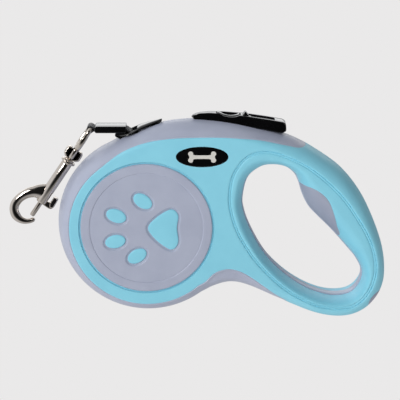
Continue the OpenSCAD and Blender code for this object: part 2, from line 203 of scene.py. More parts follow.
def within(q: Points, line: Points) -> Points:
    """Whether each point lies inside a closed line."""
    a, b = line, np.roll(line, -1, axis=0)
    out = np.zeros(len(q), dtype=bool)
    rise = np.where(np.abs(b[:, 1] - a[:, 1]) < 1e-12, 1e-12, b[:, 1] - a[:, 1])
    for lo in range(0, len(q), 2000):
        part = q[lo : lo + 2000]
        y = part[:, 1][:, None]
        hit = (a[:, 1] > y) != (b[:, 1] > y)
        x = a[:, 0] + (y - a[:, 1]) / rise * (b[:, 0] - a[:, 0])
        out[lo : lo + 2000] = np.sum(hit & (part[:, 0][:, None] < x), axis=1) % 2 == 1
    return out


def ease(t: Any) -> Any:
    """Smooth step from 0 to 1."""
    t = np.clip(t, 0.0, 1.0)
    return t * t * (3 - 2 * t)


# --------------------------------------------------------------------------------------------------
# Surfaces and where they go
# --------------------------------------------------------------------------------------------------
@dataclass(frozen=True)
class Place:
    """A flat working frame: its origin in x and z from the reel axis, and its turn in degrees."""

    x: float = 0.0
    z: float = 0.0
    turn: float = 0.0

    def to_frame(self, points: Points) -> Points:
        """Turns local (a, b, h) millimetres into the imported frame's metres."""
        low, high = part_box("axle")
        axis_x, axis_z = (low.x + high.x) / 2, (low.z + high.z) / 2
        c, s = math.cos(math.radians(self.turn)), math.sin(math.radians(self.turn))
        a, b, h = points[:, 0], points[:, 1], points[:, 2]
        x, z = self.x + a * c - b * s, self.z + a * s + b * c
        return np.stack([axis_x + x * MM, -h * MM, axis_z + z * MM], axis=1)


CASE = Place()
PIVOT = (-29.4, 50.7)
HANG = Place(PIVOT[0], PIVOT[1], 236.0)


@dataclass
class Surface:
    """Faces over points in local millimetres."""

    points: Points
    faces: list[tuple[int, ...]]

    def flipped(self) -> "Surface":
        """The same surface on the rear side."""
        return Surface(self.points * np.array([1.0, 1.0, -1.0]), [f[::-1] for f in self.faces])

    @staticmethod
    def joined(parts: Sequence["Surface"]) -> "Surface":
        """Several surfaces as one."""
        points, faces, base = [], [], 0
        for part in parts:
            points.append(part.points)
            faces += [tuple(i + base for i in f) for f in part.faces]
            base += len(part.points)
        return Surface(np.vstack(points), faces)

    def make(self, name: str, finish: bpy.types.Material, place: Place = CASE, crease: float = 38.0,
             mend: bool = False) -> bpy.types.Object:
        """Makes the Blender object.

        Args:
            name: Name of the piece.
            finish: Its material.
            place: Working frame of the points.
            crease: Angle in degrees past which an edge stays sharp.
            mend: Whether doubles are merged and the faces turned outwards.

        Returns:
            The new object, at the origin.
        """
        mesh = bpy.data.meshes.new(name)
        mesh.from_pydata([tuple(p) for p in place.to_frame(self.points)], [], self.faces)
        if mend:
            work = bmesh.new()
            work.from_mesh(mesh)
            bmesh.ops.remove_doubles(work, verts=work.verts, dist=2e-6)
            bmesh.ops.recalc_face_normals(work, faces=work.faces)
            work.to_mesh(mesh)
            work.free()
        mesh.materials.append(finish)
        finish_mesh(mesh, crease)
        obj = bpy.data.objects.new(name, mesh)
        bpy.context.scene.collection.objects.link(obj)
        return obj


def finish_mesh(mesh: bpy.types.Mesh, crease: float) -> None:
    """Shades a mesh smooth, but for the edges sharper than crease degrees."""
    mesh.validate(clean_customdata=False)
    mesh.shade_smooth()
    mesh.set_sharp_from_angle(angle=math.radians(crease))
    mesh.update()


def rings_surface(rings: Sequence[Points], closed: bool = False) -> Surface:
    """Joins rings of equal count into one closed skin.

    Args:
        rings: Rings of (a, b, h) points, each running anticlockwise seen from the last ring.
        closed: Whether the last ring joins the first; otherwise both ends are capped.

    Returns:
        The skin.
    """
    n = len(rings[0])
    faces = []
    for k in range(len(rings) if closed else len(rings) - 1):
        m = (k + 1) % len(rings)
        for i in range(n):
            j = (i + 1) % n
            faces.append((k * n + i, k * n + j, m * n + j, m * n + i))
    if not closed:
        faces.append(tuple(range(n))[::-1])
        faces.append(tuple(range((len(rings) - 1) * n, len(rings) * n)))
    return Surface(np.vstack(rings), faces)


def slab(outline: Points, half: float, edge: float, width: Optional[Callable[[Points], Points]] = None,
         steps: int = 4, low: Optional[float] = None) -> Surface:
    """A flat piece with rounded edges, even on both sides of h = 0.

    Args:
        outline: Closed outline.
        half: Half the thickness.
        edge: Radius of the rounded edges.
        width: Gives each outline point its share of the thickness, from 0 to 1.
        steps: Rings on each rounded edge.
        low: Lower face, where it isn't at -half.

    Returns:
        The closed piece.
    """
    line = anticlockwise(outline)
    normal = turned_in(line)
    share = np.ones(len(line)) if width is None else width(line)
    angles = np.linspace(math.pi / 2, 0.0, steps + 1)
    rings = []
    bottom = -half if low is None else low
    for sign, level in ((-1, bottom), (1, half)):
        for a in angles if sign < 0 else angles[::-1]:
            inset = edge * (1 - math.cos(a))
            h = level + (edge - edge * math.sin(a)) * (1 if sign < 0 else -1)
            rings.append(np.column_stack([line + normal * inset, share * h]))
    return rings_surface(rings)


def tube(path: Points, half: Points, sides: int = 16, closed: bool = False,
         up: Sequence[float] = (0.0, 0.0, 1.0)) -> Surface:
    """A skin swept along a path with an elliptical section.

    Args:
        path: Middle line, as (a, b, h) points.
        half: Half axes of the section at each point: across, and along up.
        sides: Faces round the section.
        closed: Whether the path returns to its start.
        up: Direction that the second half axis keeps to.

    Returns:
        The closed skin, with domed ends on an open path.
    """
    path = np.asarray(path, dtype=float)
    half = np.broadcast_to(np.asarray(half, dtype=float), (len(path), 2)).copy()
    if not closed:
        d0, d1 = path[0] - path[1], path[-1] - path[-2]
        d0, d1 = d0 / np.linalg.norm(d0), d1 / np.linalg.norm(d1)
        heads, tails = [], []
        for a in (90.0, 62.0, 35.0):
            reach, shrink = math.sin(math.radians(a)), max(math.cos(math.radians(a)), 0.02)
            heads.append((path[0] + d0 * half[0].min() * 0.55 * reach, half[0] * shrink))
            tails.append((path[-1] + d1 * half[-1].min() * 0.55 * reach, half[-1] * shrink))
        path = np.vstack([[p for p, _ in heads], path, [p for p, _ in tails[::-1]]])
        half = np.vstack([[h for _, h in heads], half, [h for _, h in tails[::-1]]])
    ahead = np.roll(path, -1, axis=0) - np.roll(path, 1, axis=0)
    if not closed:
        ahead[0], ahead[-1] = path[3] - path[0], path[-1] - path[-4]
        ahead[1:3], ahead[-3:-1] = ahead[0], ahead[-1]
    ahead /= np.linalg.norm(ahead, axis=1, keepdims=True)
    lift = np.array(up, dtype=float)
    angle = np.linspace(0.0, 2 * math.pi, sides, endpoint=False)
    rings = []
    for p, t, (w, v) in zip(path, ahead, half):
        side = np.cross(lift, t)
        if np.linalg.norm(side) < 1e-6:
            side = np.array([1.0, 0.0, 0.0])
        side /= np.linalg.norm(side)
        rise = np.cross(t, side)
        rings.append(p + np.outer(np.cos(angle) * w, side) + np.outer(np.sin(angle) * v, rise))
    return rings_surface(rings, closed)


def turned(profile: Sequence[Sequence[float]], sides: int = 40, loop: bool = False) -> Surface:
    """A turned piece about the a axis.

    Args:
        profile: (a, radius) points, from low a to high a.
        sides: Faces round the axis.
        loop: Whether the profile is a closed loop, as for a piece with a bore.

    Returns:
        The closed piece.
    """
    angle = np.linspace(0.0, 2 * math.pi, sides, endpoint=False)
    rings = [np.stack([np.full(sides, a), r * np.cos(angle), r * np.sin(angle)], axis=1) for a, r in profile]
    return rings_surface(rings, loop)


@dataclass
class Relief:
    """A moulded face: rows of points in plan, and a height over them."""

    height: Callable[[Points], Points]
    chains: list[Points] = field(default_factory=list)
    rows: list[Points] = field(default_factory=list)
    plan: Points = field(default_factory=lambda: np.zeros((0, 2)))
    triangles: Points = field(default_factory=lambda: np.zeros((0, 3), dtype=int))
    levels: Points = field(default_factory=lambda: np.zeros(0))

    def offset_rows(self, line: Points, offsets: Iterable[Any]) -> None:
        """Adds rows beside a closed line.

        Args:
            line: The line, running anticlockwise.
            offsets: Distances inwards, each one number or one for each point.
        """
        normal = turned_in(line)
        for off in offsets:
            reach = np.broadcast_to(np.asarray(off, dtype=float), (len(line),))
            row = line + normal * reach[:, None]
            true = distance(row, line)
            self.rows.append(row[true > np.abs(reach) * 0.97 - 0.01])

    def weave(self) -> None:
        """Joins all points to triangles, with every chain kept as edges."""
        points, edges = [], []
        for chain in self.chains:
            base = len(points)
            points += [tuple(p) for p in chain]
            edges += [(base + i, base + (i + 1) % len(chain)) for i in range(len(chain))]
        loose = np.vstack(self.rows) if self.rows else np.zeros((0, 2))
        if len(loose):
            clear = np.ones(len(loose), dtype=bool)
            for chain in self.chains:
                clear &= distance(loose, chain) > 0.02
            loose = loose[clear]
            _, first = np.unique(np.round(loose / 0.05).astype(int), axis=0, return_index=True)
            points += [tuple(p) for p in loose[np.sort(first)]]
        made = delaunay_2d_cdt([Vector(p) for p in points], edges, [], 0, 1e-5)
        self.plan = np.array([tuple(v) for v in made[0]])
        tri = np.array([f for f in made[2] if len(f) == 3], dtype=int)
        a, b, c = (self.plan[tri[:, k]] for k in range(3))
        area = (b[:, 0] - a[:, 0]) * (c[:, 1] - a[:, 1]) - (b[:, 1] - a[:, 1]) * (c[:, 0] - a[:, 0])
        tri[area < 0] = tri[area < 0][:, ::-1]
        self.triangles = tri[np.abs(area) > 1e-7]
        self.levels = self.height(self.plan)

    def middles(self) -> Points:
        """The middle of each triangle, in plan."""
        return self.plan[self.triangles].mean(axis=1)

    def solid(self, keep: Points, under: Callable[[Points, Points], Points]) -> Surface:
        """A closed solid over some of the triangles.

        Args:
            keep: Whether each triangle belongs to it.
            under: Gives the level of its lower face from plan points and their upper levels.

        Returns:
            The solid.
        """
        tri = self.triangles[keep]
        used, flat = np.unique(tri, return_inverse=True)
        tri = flat.reshape(tri.shape)
        plan, top = self.plan[used], self.levels[used]
        low = np.minimum(under(plan, top), top)
        shared = top - low < 1e-3
        below = np.where(shared, np.arange(len(used)), 0)
        extra = np.where(~shared)[0]
        below[extra] = len(used) + np.arange(len(extra))
        points = np.vstack([np.column_stack([plan, top]), np.column_stack([plan, low])[extra]])
        faces = [tuple(t) for t in tri]
        faces += [tuple(int(below[i]) for i in t[::-1]) for t in tri if not shared[t].all()]
        count: dict[tuple[int, int], int] = {}
        for t in tri:
            for i in range(3):
                count[(t[i], t[(i + 1) % 3])] = 1
        for a, b in count:
            if (b, a) not in count:
                wall = [a, int(below[a]), int(below[b]), b]
                wall = list(dict.fromkeys(wall))
                if len(wall) > 2:
                    faces.append(tuple(wall))
        return Surface(points, [tuple(int(i) for i in f) for f in faces])


# --------------------------------------------------------------------------------------------------
# Finishes
# --------------------------------------------------------------------------------------------------
def linear(colour: str) -> tuple[float, float, float, float]:
    """Turns an sRGB hex colour into Blender's linear one."""
    parts = [int(colour[i : i + 2], 16) / 255 for i in (1, 3, 5)]
    r, g, b = (c / 12.92 if c <= 0.04045 else ((c + 0.055) / 1.055) ** 2.4 for c in parts)
    return (r, g, b, 1.0)


def add_node(tree: bpy.types.NodeTree, kind: str, feeds: Optional[dict[Any, Any]] = None,
             **settings: Any) -> bpy.types.Node:
    """Adds a node with its settings and links.

    Args:
        tree: Shader or geometry tree.
        kind: Blender's name of the node.
        feeds: What each input takes, by its name or number: a socket to link or a value.
        settings: Attributes of the node.

    Returns:
        The node.
    """
    node = tree.nodes.new(kind)
    for key, value in settings.items():
        setattr(node, key, value)
    for key, value in (feeds or {}).items():
        if isinstance(value, bpy.types.NodeSocket):
            tree.links.new(value, node.inputs[key])
        else:
            node.inputs[key].default_value = value
    return node


class Grain(Enum):
    """How a plastic or metal surface was left by its making."""

    SPARK = "fine spark-eroded mould texture"
    POLISHED = "polished mould"
    BRUSHED = "drawn or brushed metal"


@dataclass(frozen=True)
class Finish:
    """A moulded, plated or drawn finish with its own fine texture.

    Attributes:
        name: Name of the material.
        colour: sRGB colour in the clean state.
        worn: sRGB colour that slow unevenness drifts towards.
        roughness: Roughness in the clean state.
        spread: How much the roughness drifts.
        metal: Whether it is a metal.
        ior: Index of refraction, used on plastics only.
        coat: Weight of a clear skin.
        grain: How the surface was made.
        grain_mm: Size of its finest marks in millimetres.
        relief_mm: Depth of those marks in millimetres.
    """

    name: str
    colour: str
    worn: str
    roughness: float
    spread: float = 0.05
    metal: bool = False
    ior: float = 1.5
    coat: float = 0.0
    grain: Grain = Grain.SPARK
    grain_mm: float = 0.5
    relief_mm: float = 0.01

    def material(self) -> bpy.types.Material:
        """Builds the material."""
        mat = bpy.data.materials.new(self.name)
        mat.use_nodes = True
        tree = mat.node_tree
        tree.nodes.clear()
        where = add_node(tree, "ShaderNodeTexCoord").outputs["Object"]
        stretch = (1.0, 1.0, 12.0) if self.grain is Grain.BRUSHED else (1.0, 1.0, 1.0)
        drawn = add_node(tree, "ShaderNodeMapping", {"Vector": where, "Scale": stretch}).outputs[0]
        fine = add_node(tree, "ShaderNodeTexNoise",
                        {"Vector": drawn, "Scale": 1 / (self.grain_mm * MM), "Detail": 3.0, "Roughness": 0.6})
        slow = add_node(tree, "ShaderNodeTexNoise",
                        {"Vector": where, "Scale": 1 / (14 * MM), "Detail": 4.0, "Roughness": 0.55})
        drift = add_node(tree, "ShaderNodeMapRange",
                         {"Value": slow.outputs["Fac"], "From Min": 0.35, "From Max": 0.7}).outputs[0]
        tint = add_node(tree, "ShaderNodeMix", {0: drift, 6: linear(self.colour), 7: linear(self.worn)},
                        data_type="RGBA").outputs[2]
        rough = add_node(tree, "ShaderNodeMapRange",
                         {"Value": fine.outputs["Fac"], "From Min": 0.3, "From Max": 0.7,
                          "To Min": self.roughness - self.spread, "To Max": self.roughness + self.spread})
        bump = add_node(tree, "ShaderNodeBump",
                        {"Height": fine.outputs["Fac"], "Strength": 1.0, "Distance": self.relief_mm * MM})
        shader = add_node(tree, "ShaderNodeBsdfPrincipled",
                          {"Base Color": tint, "Roughness": rough.outputs[0], "Normal": bump.outputs[0]})
        shader.inputs["Metallic"].default_value = 1.0 if self.metal else 0.0
        if not self.metal:
            shader.inputs["IOR"].default_value = self.ior
        if self.coat:
            shader.inputs["Coat Weight"].default_value = self.coat
            shader.inputs["Coat Roughness"].default_value = 0.06
        add_node(tree, "ShaderNodeOutputMaterial", {"Surface": shader.outputs[0]})
        return mat


@dataclass(frozen=True)
class WovenTape:
    """Flat nylon webbing: crossing ribs of yarn, with a painted highlight, a lighter colour, where each yarn
    crowns.
    """

    name: str
    crown_highlight: str
    yarn_colour: str
    yarn_mm: float = 0.9

    def material(self) -> bpy.types.Material:
        """Builds the material."""
        mat = bpy.data.materials.new(self.name)
        mat.use_nodes = True
        tree = mat.node_tree
        tree.nodes.clear()
        where = add_node(tree, "ShaderNodeTexCoord").outputs["Object"]
        ribs = []
        for axis in ("X", "Y"):
            wave = add_node(tree, "ShaderNodeTexWave",
                            {"Vector": where, "Scale": 0.314 / (self.yarn_mm * MM), "Distortion": 0.6,
                             "Detail": 1.0}, wave_type="BANDS", bands_direction=axis)
            ribs.append(wave.outputs["Fac"])
        crown = add_node(tree, "ShaderNodeMath", {0: ribs[0], 1: ribs[1]}, operation="MULTIPLY").outputs[0]
        # Painted highlight: the lighter colour goes where both yarn ribs crown, the base yarn colour
        # everywhere else
        tint = add_node(tree, "ShaderNodeMix", {0: crown, 6: linear(self.yarn_colour), 7: linear(self.crown_highlight)},
                        data_type="RGBA").outputs[2]
        bump = add_node(tree, "ShaderNodeBump", {"Height": crown, "Strength": 1.0, "Distance": 0.12 * MM})
        shader = add_node(tree, "ShaderNodeBsdfPrincipled",
                          {"Base Color": tint, "Roughness": 0.75, "Sheen Weight": 0.35,
                           "Sheen Roughness": 0.4, "Normal": bump.outputs[0]})
        add_node(tree, "ShaderNodeOutputMaterial", {"Surface": shader.outputs[0]})
        return mat


# ABS with a satin mould texture: soft, wide highlights on the rim of the case
GREY_SHELL = Finish("satin_abs_periwinkle_grey", "#AFB5C8", "#A8AEC2", 0.36, 0.04, ior=1.5, coat=0.12,
                    grain_mm=0.35, relief_mm=0.006)
# The same plastic in blue, a touch more matt, so that its large faces stay even
BLUE_COVER = Finish("satin_abs_sky_blue", "#8CD5E9", "#87D0E5", 0.42, 0.05, ior=1.48, grain_mm=0.35,
                    relief_mm=0.007)
# Soft-touch rubber moulded over the loop: no sharp highlight at all
SOFT_GRIP = Finish("soft_touch_rubber_grey", "#A0A6B8", "#979DB0", 0.62, 0.06, ior=1.45, grain_mm=0.6,
                   relief_mm=0.02)
# Polished black ABS: nearly all of its look is what it mirrors
GLOSS_BLACK = Finish("polished_abs_black", "#060607", "#0A0A0B", 0.07, 0.02, ior=1.56, coat=0.6,
                     grain=Grain.POLISHED, grain_mm=3.0, relief_mm=0.003)
# Nickel-plated zinc casting: warm grey mirror, slightly uneven from the casting below
BRIGHT_NICKEL = Finish("bright_nickel_plate", "#DCD3CA", "#D0C6BB", 0.085, 0.03, metal=True,
                       grain=Grain.POLISHED, grain_mm=2.2, relief_mm=0.012)
# Zinc-plated steel of the screws and the axle
PLAIN_STEEL = Finish("zinc_plated_steel", "#B9BCC0", "#A9ACB0", 0.3, 0.08, metal=True, grain=Grain.BRUSHED,
                     grain_mm=0.3, relief_mm=0.004)
# Blued spring strip and wire
SPRING_STEEL = Finish("tempered_spring_steel", "#9A9DA6", "#7E828C", 0.34, 0.08, metal=True,
                      grain=Grain.BRUSHED, grain_mm=0.3, relief_mm=0.004)
# Undyed acetal of the reel and the brake lever: waxy and slightly yellow white
NATURAL_ACETAL = Finish("natural_acetal", "#E9E6DC", "#DEDBD0", 0.4, 0.06, ior=1.48, grain_mm=0.5,
                        relief_mm=0.006)
# Warm light-grey ink, printed on the badge
BADGE_INK = Finish("printed_ink_light_grey", "#D9D6D0", "#CFCCC6", 0.4, 0.05, grain_mm=0.3, relief_mm=0.004)
# Charcoal yarn colour, with a lighter grey as a painted highlight on each yarn's crown
TAPE = WovenTape("woven_nylon_charcoal", "#3A3C42", "#1C1D21")


class Finishes:
    """Every material, made once."""

    def __init__(self) -> None:
        """Builds the materials of all finishes."""
        self.grey = GREY_SHELL.material()
        self.blue = BLUE_COVER.material()
        self.soft = SOFT_GRIP.material()
        self.black = GLOSS_BLACK.material()
        self.nickel = BRIGHT_NICKEL.material()
        self.steel = PLAIN_STEEL.material()
        self.spring = SPRING_STEEL.material()
        self.acetal = NATURAL_ACETAL.material()
        self.ink = BADGE_INK.material()
        self.tape = TAPE.material()


def place_piece(obj: bpy.types.Object, body: str, slot: str, *nodes: str) -> None:
    """Attaches a finished piece to its body, hides the CAD nodes it stands for, and reports it.

    Args:
        obj: The piece.
        body: Body that it rides on.
        slot: Not used.
        nodes: CAD nodes that it replaces.
    """
    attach(obj, body)
    if nodes:
        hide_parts(*nodes)
    LOG.info("%s on %s: %d faces", obj.name, body, len(obj.data.polygons))


def place_between(obj: bpy.types.Object, node: str, bodies: tuple[str, str]) -> None:
    """Hides the CAD node that a finished piece replaces and bakes the piece's place into its mesh, leaving it
    on no body.

    Args:
        obj: The piece.
        node: CAD node that it replaces.
        bodies: Bodies between which the piece runs, named in the log only.
    """
    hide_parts(node)
    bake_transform(obj)
    LOG.info("%s between %s and %s", obj.name, *bodies)


# --------------------------------------------------------------------------------------------------
# Geometry Nodes
# --------------------------------------------------------------------------------------------------
class PartTree:
    """A Geometry Nodes tree with named sizes, turned into a plain mesh when it is done."""

    SOCKETS = {float: "NodeSocketFloat", int: "NodeSocketInt"}

    def __init__(self, name: str, finish: bpy.types.Material, sizes: dict[str, Any]) -> None:
        """Starts a tree.

        Args:
            name: Name of the piece that it makes.
            finish: Its material.
            sizes: Named inputs with their values.
        """
        self.name = name
        self.finish = finish
        self.sizes = sizes
        self.tree = bpy.data.node_groups.new(name, "GeometryNodeTree")
        face = self.tree.interface
        face.new_socket("Geometry", in_out="INPUT", socket_type="NodeSocketGeometry")
        self.ids = {}
        for key, value in sizes.items():
            socket = face.new_socket(key, in_out="INPUT", socket_type=self.SOCKETS[type(value)])
            self.ids[key] = socket.identifier
        face.new_socket("Geometry", in_out="OUTPUT", socket_type="NodeSocketGeometry")
        self.given = add_node(self.tree, "NodeGroupInput")

    def size(self, key: str) -> bpy.types.NodeSocket:
        """The socket of a named size."""
        return self.given.outputs[key]

    def add(self, kind: str, feeds: Optional[dict[Any, Any]] = None, **settings: Any) -> bpy.types.Node:
        """Adds a node to this tree."""
        return add_node(self.tree, kind, feeds, **settings)

    def made(self, last: bpy.types.NodeSocket, points: Points, crease: float = 38.0) -> bpy.types.Object:
        """Ends the tree, runs it and keeps the result as a plain mesh.

        Args:
            last: Socket with the finished geometry.
            points: Points handed to the tree, in metres.
            crease: Angle in degrees past which an edge stays sharp.

        Returns:
            The piece.
        """
        real = self.add("GeometryNodeRealizeInstances", {0: last})
        dressed = self.add("GeometryNodeSetMaterial", {0: real.outputs[0], "Material": self.finish})
        self.add("NodeGroupOutput", {0: dressed.outputs[0]})
        seed = bpy.data.meshes.new(self.name + "_seed")
        seed.from_pydata([tuple(p) for p in points], [(i, i + 1) for i in range(len(points) - 1)], [])
        obj = bpy.data.objects.new(self.name, seed)
        bpy.context.scene.collection.objects.link(obj)
        modifier = obj.modifiers.new("build", "NODES")
        modifier.node_group = self.tree
        for key, value in self.sizes.items():
            modifier[self.ids[key]] = value
        bpy.context.view_layer.update()
        solved = obj.evaluated_get(bpy.context.evaluated_depsgraph_get())
        mesh = bpy.data.meshes.new_from_object(solved)
        obj.modifiers.clear()
        obj.data = mesh
        mesh.name = self.name
        work = bmesh.new()
        work.from_mesh(mesh)
        bmesh.ops.remove_doubles(work, verts=work.verts, dist=1e-6)
        bmesh.ops.recalc_face_normals(work, faces=work.faces)
        work.to_mesh(mesh)
        work.free()
        if not mesh.materials:
            mesh.materials.append(self.finish)
        finish_mesh(mesh, crease)
        return obj


def wire_piece(name: str, finish: bpy.types.Material, path: Points, place: Place, radius: float,
               sides: int = 8) -> bpy.types.Object:
    """Makes round wire along a path with Geometry Nodes, such as a coil spring.

    Args:
        name: Name of the piece.
        finish: Its material.
        path: Middle of the wire, as local (a, b, h) points.
        place: Working frame of the path.
        radius: Radius of the wire in millimetres.
        sides: Faces round the wire.

    Returns:
        The piece.
    """
    tree = PartTree(name, finish, {"Wire radius": radius * MM, "Wire sides": sides})
    curve = tree.add("GeometryNodeMeshToCurve", {0: tree.given.outputs[0]})
    ring = tree.add("GeometryNodeCurvePrimitiveCircle",
                    {"Resolution": tree.size("Wire sides"), "Radius": tree.size("Wire radius")})
    skin = tree.add("GeometryNodeCurveToMesh",
                    {"Curve": curve.outputs[0], "Profile Curve": ring.outputs[0], "Fill Caps": True})
    return tree.made(skin.outputs[0], place.to_frame(path))


def strip_piece(name: str, finish: bpy.types.Material, path: Points, thick: float,
                wide: float) -> bpy.types.Object:
    """Makes flat strip that runs along a path on its edge, such as a wound spring or tape.

    Args:
        name: Name of the piece.
        finish: Its material.
        path: Middle of the strip, as (a, b, h) points of the case.
        thick: Thickness in the plane of the winding, in millimetres.
        wide: Width across it, in millimetres.

    Returns:
        The piece.
    """
    tree = PartTree(name, finish, {"Strip thickness": thick * MM, "Strip width": wide * MM})
    curve = tree.add("GeometryNodeMeshToCurve", {0: tree.given.outputs[0]})
    flat = tree.add("GeometryNodeSetCurveNormal", {0: curve.outputs[0]})
    section = tree.add("GeometryNodeCurvePrimitiveQuadrilateral",
                       {"Width": tree.size("Strip width"), "Height": tree.size("Strip thickness")})
    skin = tree.add("GeometryNodeCurveToMesh",
                    {"Curve": flat.outputs[0], "Profile Curve": section.outputs[0], "Fill Caps": True})
    return tree.made(skin.outputs[0], CASE.to_frame(path))


# --------------------------------------------------------------------------------------------------
# The case
# --------------------------------------------------------------------------------------------------
@dataclass
class CaseForm:
    """Outlines of the case and the height of its outside over the middle plane."""

    face: float = 15.2
    round_centre: tuple[float, float] = (0.5, -0.5)
    round_radius: float = 47.8
    cover_radius: float = 41.0
    lining_half: float = 3.4
    step: float = 1.1
    screws: tuple[tuple[float, float], ...] = ((70, 40.5), (48, -26), (113, -6), (100, -45.8), (90.5, 29.5))

    def __post_init__(self) -> None:
        """Draws every outline."""
        ring = arc(self.round_centre, self.round_radius, 114, 307, 60)
        back = [[36, -35.2], [44.5, -33], [54, -35], [71, -42.5], [88, -49], [100, -51.5], [110, -50.5],
                [119, -45.5], [125.5, -36], [127, -24], [124, -8], [115, 13], [104, 28], [91, 38],
                [76, 46.5], [60, 51.5], [45, 54.5], [30, 55.7], [18, 55.3], [6, 53.3], [-6, 49.2]]
        loop = spline([ring[-8], ring[-1], *back, ring[0], ring[7]], False, self.step)
        self.outline = respace(np.vstack([ring, loop[1:-1]]), self.step, True)
        self.hole = spline(
            [[50.3, 14], [51.2, 6], [54.5, -3], [60.5, -14.2], [67, -22.5], [75, -29.8], [84, -35.7],
             [92.5, -39.2], [100.5, -40.7], [108.5, -39.2], [113.5, -34], [115.1, -27], [112, -19.6],
             [106.5, -12.7], [98, -3], [91, 4], [86, 9.5], [82.6, 16.3], [80.6, 22.6], [78.2, 27.4],
             [73.5, 31], [67, 32.3], [60, 31], [53, 25]], True, self.step)
        self.engraving = spline(
            [[43.2, 15.2], [44.5, 6.8], [47.4, -2], [51.5, -9.7], [57.1, -18.1], [64.9, -26.8],
             [73.4, -34.3], [82.6, -39.9], [92.9, -44.1], [105.9, -44.8], [112.6, -42], [117.6, -36.6],
             [121, -28.4], [121.6, -20.2], [119.9, -11.4], [116.4, -3], [111.1, 6], [104.9, 15],
             [98.1, 22.4], [89.9, 29.6], [82, 34.9], [72.5, 39.3], [63.6, 41.5], [55.3, 40.2],
             [49.1, 35.3], [44.4, 26.4]], True, self.step)
        ring = arc((0.3, -0.8), self.cover_radius, 128, 311, 170)
        low = spline([ring[-8], ring[-1], [31, -29.5], [35.5, -25], [40, -23], [44.5, -22.5], [50, -24],
                      [56, -27.5], [62, -32], [68, -37], [74, -41.5], [80, -50], [84, -56]], False, self.step)
        high = spline([[96, 56], [91.5, 48], [87, 43.5], [81.2, 42.2], [72, 44.3], [60, 47], [49, 48.2],
                       [38.5, 48.8], [28, 48.8], [17.5, 48.5], [10.5, 47.9], [3, 46.7], [-5.8, 44.0],
                       [-14.6, 39.6], ring[0],
                       ring[7]],
                      False, self.step)
        self.cover = np.vstack([ring, low[1:], [[150, -70], [150, 60]], high[:-1]])
        self.grip = spline([[80.5, 22.4], [83.2, 22.2], [87.0, 21.4], [91.3, 19.2], [95.6, 14.8],
                            [98.3, 8.4], [100.3, 1], [101.6, -6.5], [90, -9], [76, 6], [74, 20]], True, 0.7)
        self.heels = [ellipse((122.3, -40.6), (5.4, 3.4), 55, 40), ellipse((104.4, -52.6), (3.6, 2.2), 4, 28)]

    def height(self, q: Points, rear: bool = False) -> Points:
        """Height of the outside of the case over the middle plane.

        Args:
            q: Plan points.
            rear: Whether the screw wells of the rear side are let in.

        Returns:
            Heights in millimetres.
        """
        d_out, d_hole, d_line = (distance(q, line) for line in (self.outline, self.hole, self.engraving))
        inner = within(q, self.engraving)
        to_loop = ease((q[:, 0] - 55) / 45)
        reach = 6.6 + 3.2 * to_loop
        reach = np.minimum(reach, d_out + d_line)
        t = np.where(inner, 1.0, np.clip(d_out / np.maximum(reach, 1e-6), 0.0, 1.0))
        power = 1.72 + 0.4 * to_loop
        level = self.face * (1 - (1 - t) ** power) ** (1 / power)
        s = np.clip(d_hole / np.maximum(d_hole + d_line, 1e-6), 0.0, 1.0)
        roll = (1 - (1 - np.clip(s / 0.62, 0.0, 1.0)) ** 1.7) ** 0.6
        inside = self.lining_half + (self.face - 0.3 - self.lining_half) * roll
        level = np.where(inner, inside, level)
        level = level - 0.5 * np.exp(-((d_line / 0.32) ** 2))
        level = level - np.where(inner, 0.4 * np.exp(-(((d_line - 1.1) / 0.32) ** 2)), 0.0)
        seam = np.minimum(distance(q, self.cover), distance(q, self.grip))
        for heel in self.heels:
            seam = np.minimum(seam, distance(q, heel))
        level = level - 0.22 * np.exp(-((seam / 0.2) ** 2)) * ease(level / 6)
        bare = ~within(q, self.cover)
        level = level - np.where(bare, 0.75 * ease((distance(q, self.cover) - 0.5) / 1.0),
                                 0.0) * ease(level / 8)
        r = np.hypot(q[:, 0], q[:, 1])
        level = np.where(r < 37, level - 1.0 * ease((35.85 - r) / 0.42), level)
        if rear:
            for x, z in self.screws:
                away = np.hypot(q[:, 0] - x, q[:, 1] - z)
                level = np.where(away < 3.2, np.minimum(level, 13.4 + 1.8 * ease((away - 2.75) / 0.3)), level)
        return np.maximum(np.where(d_out < 0.004, 0.0, level), 0.0)

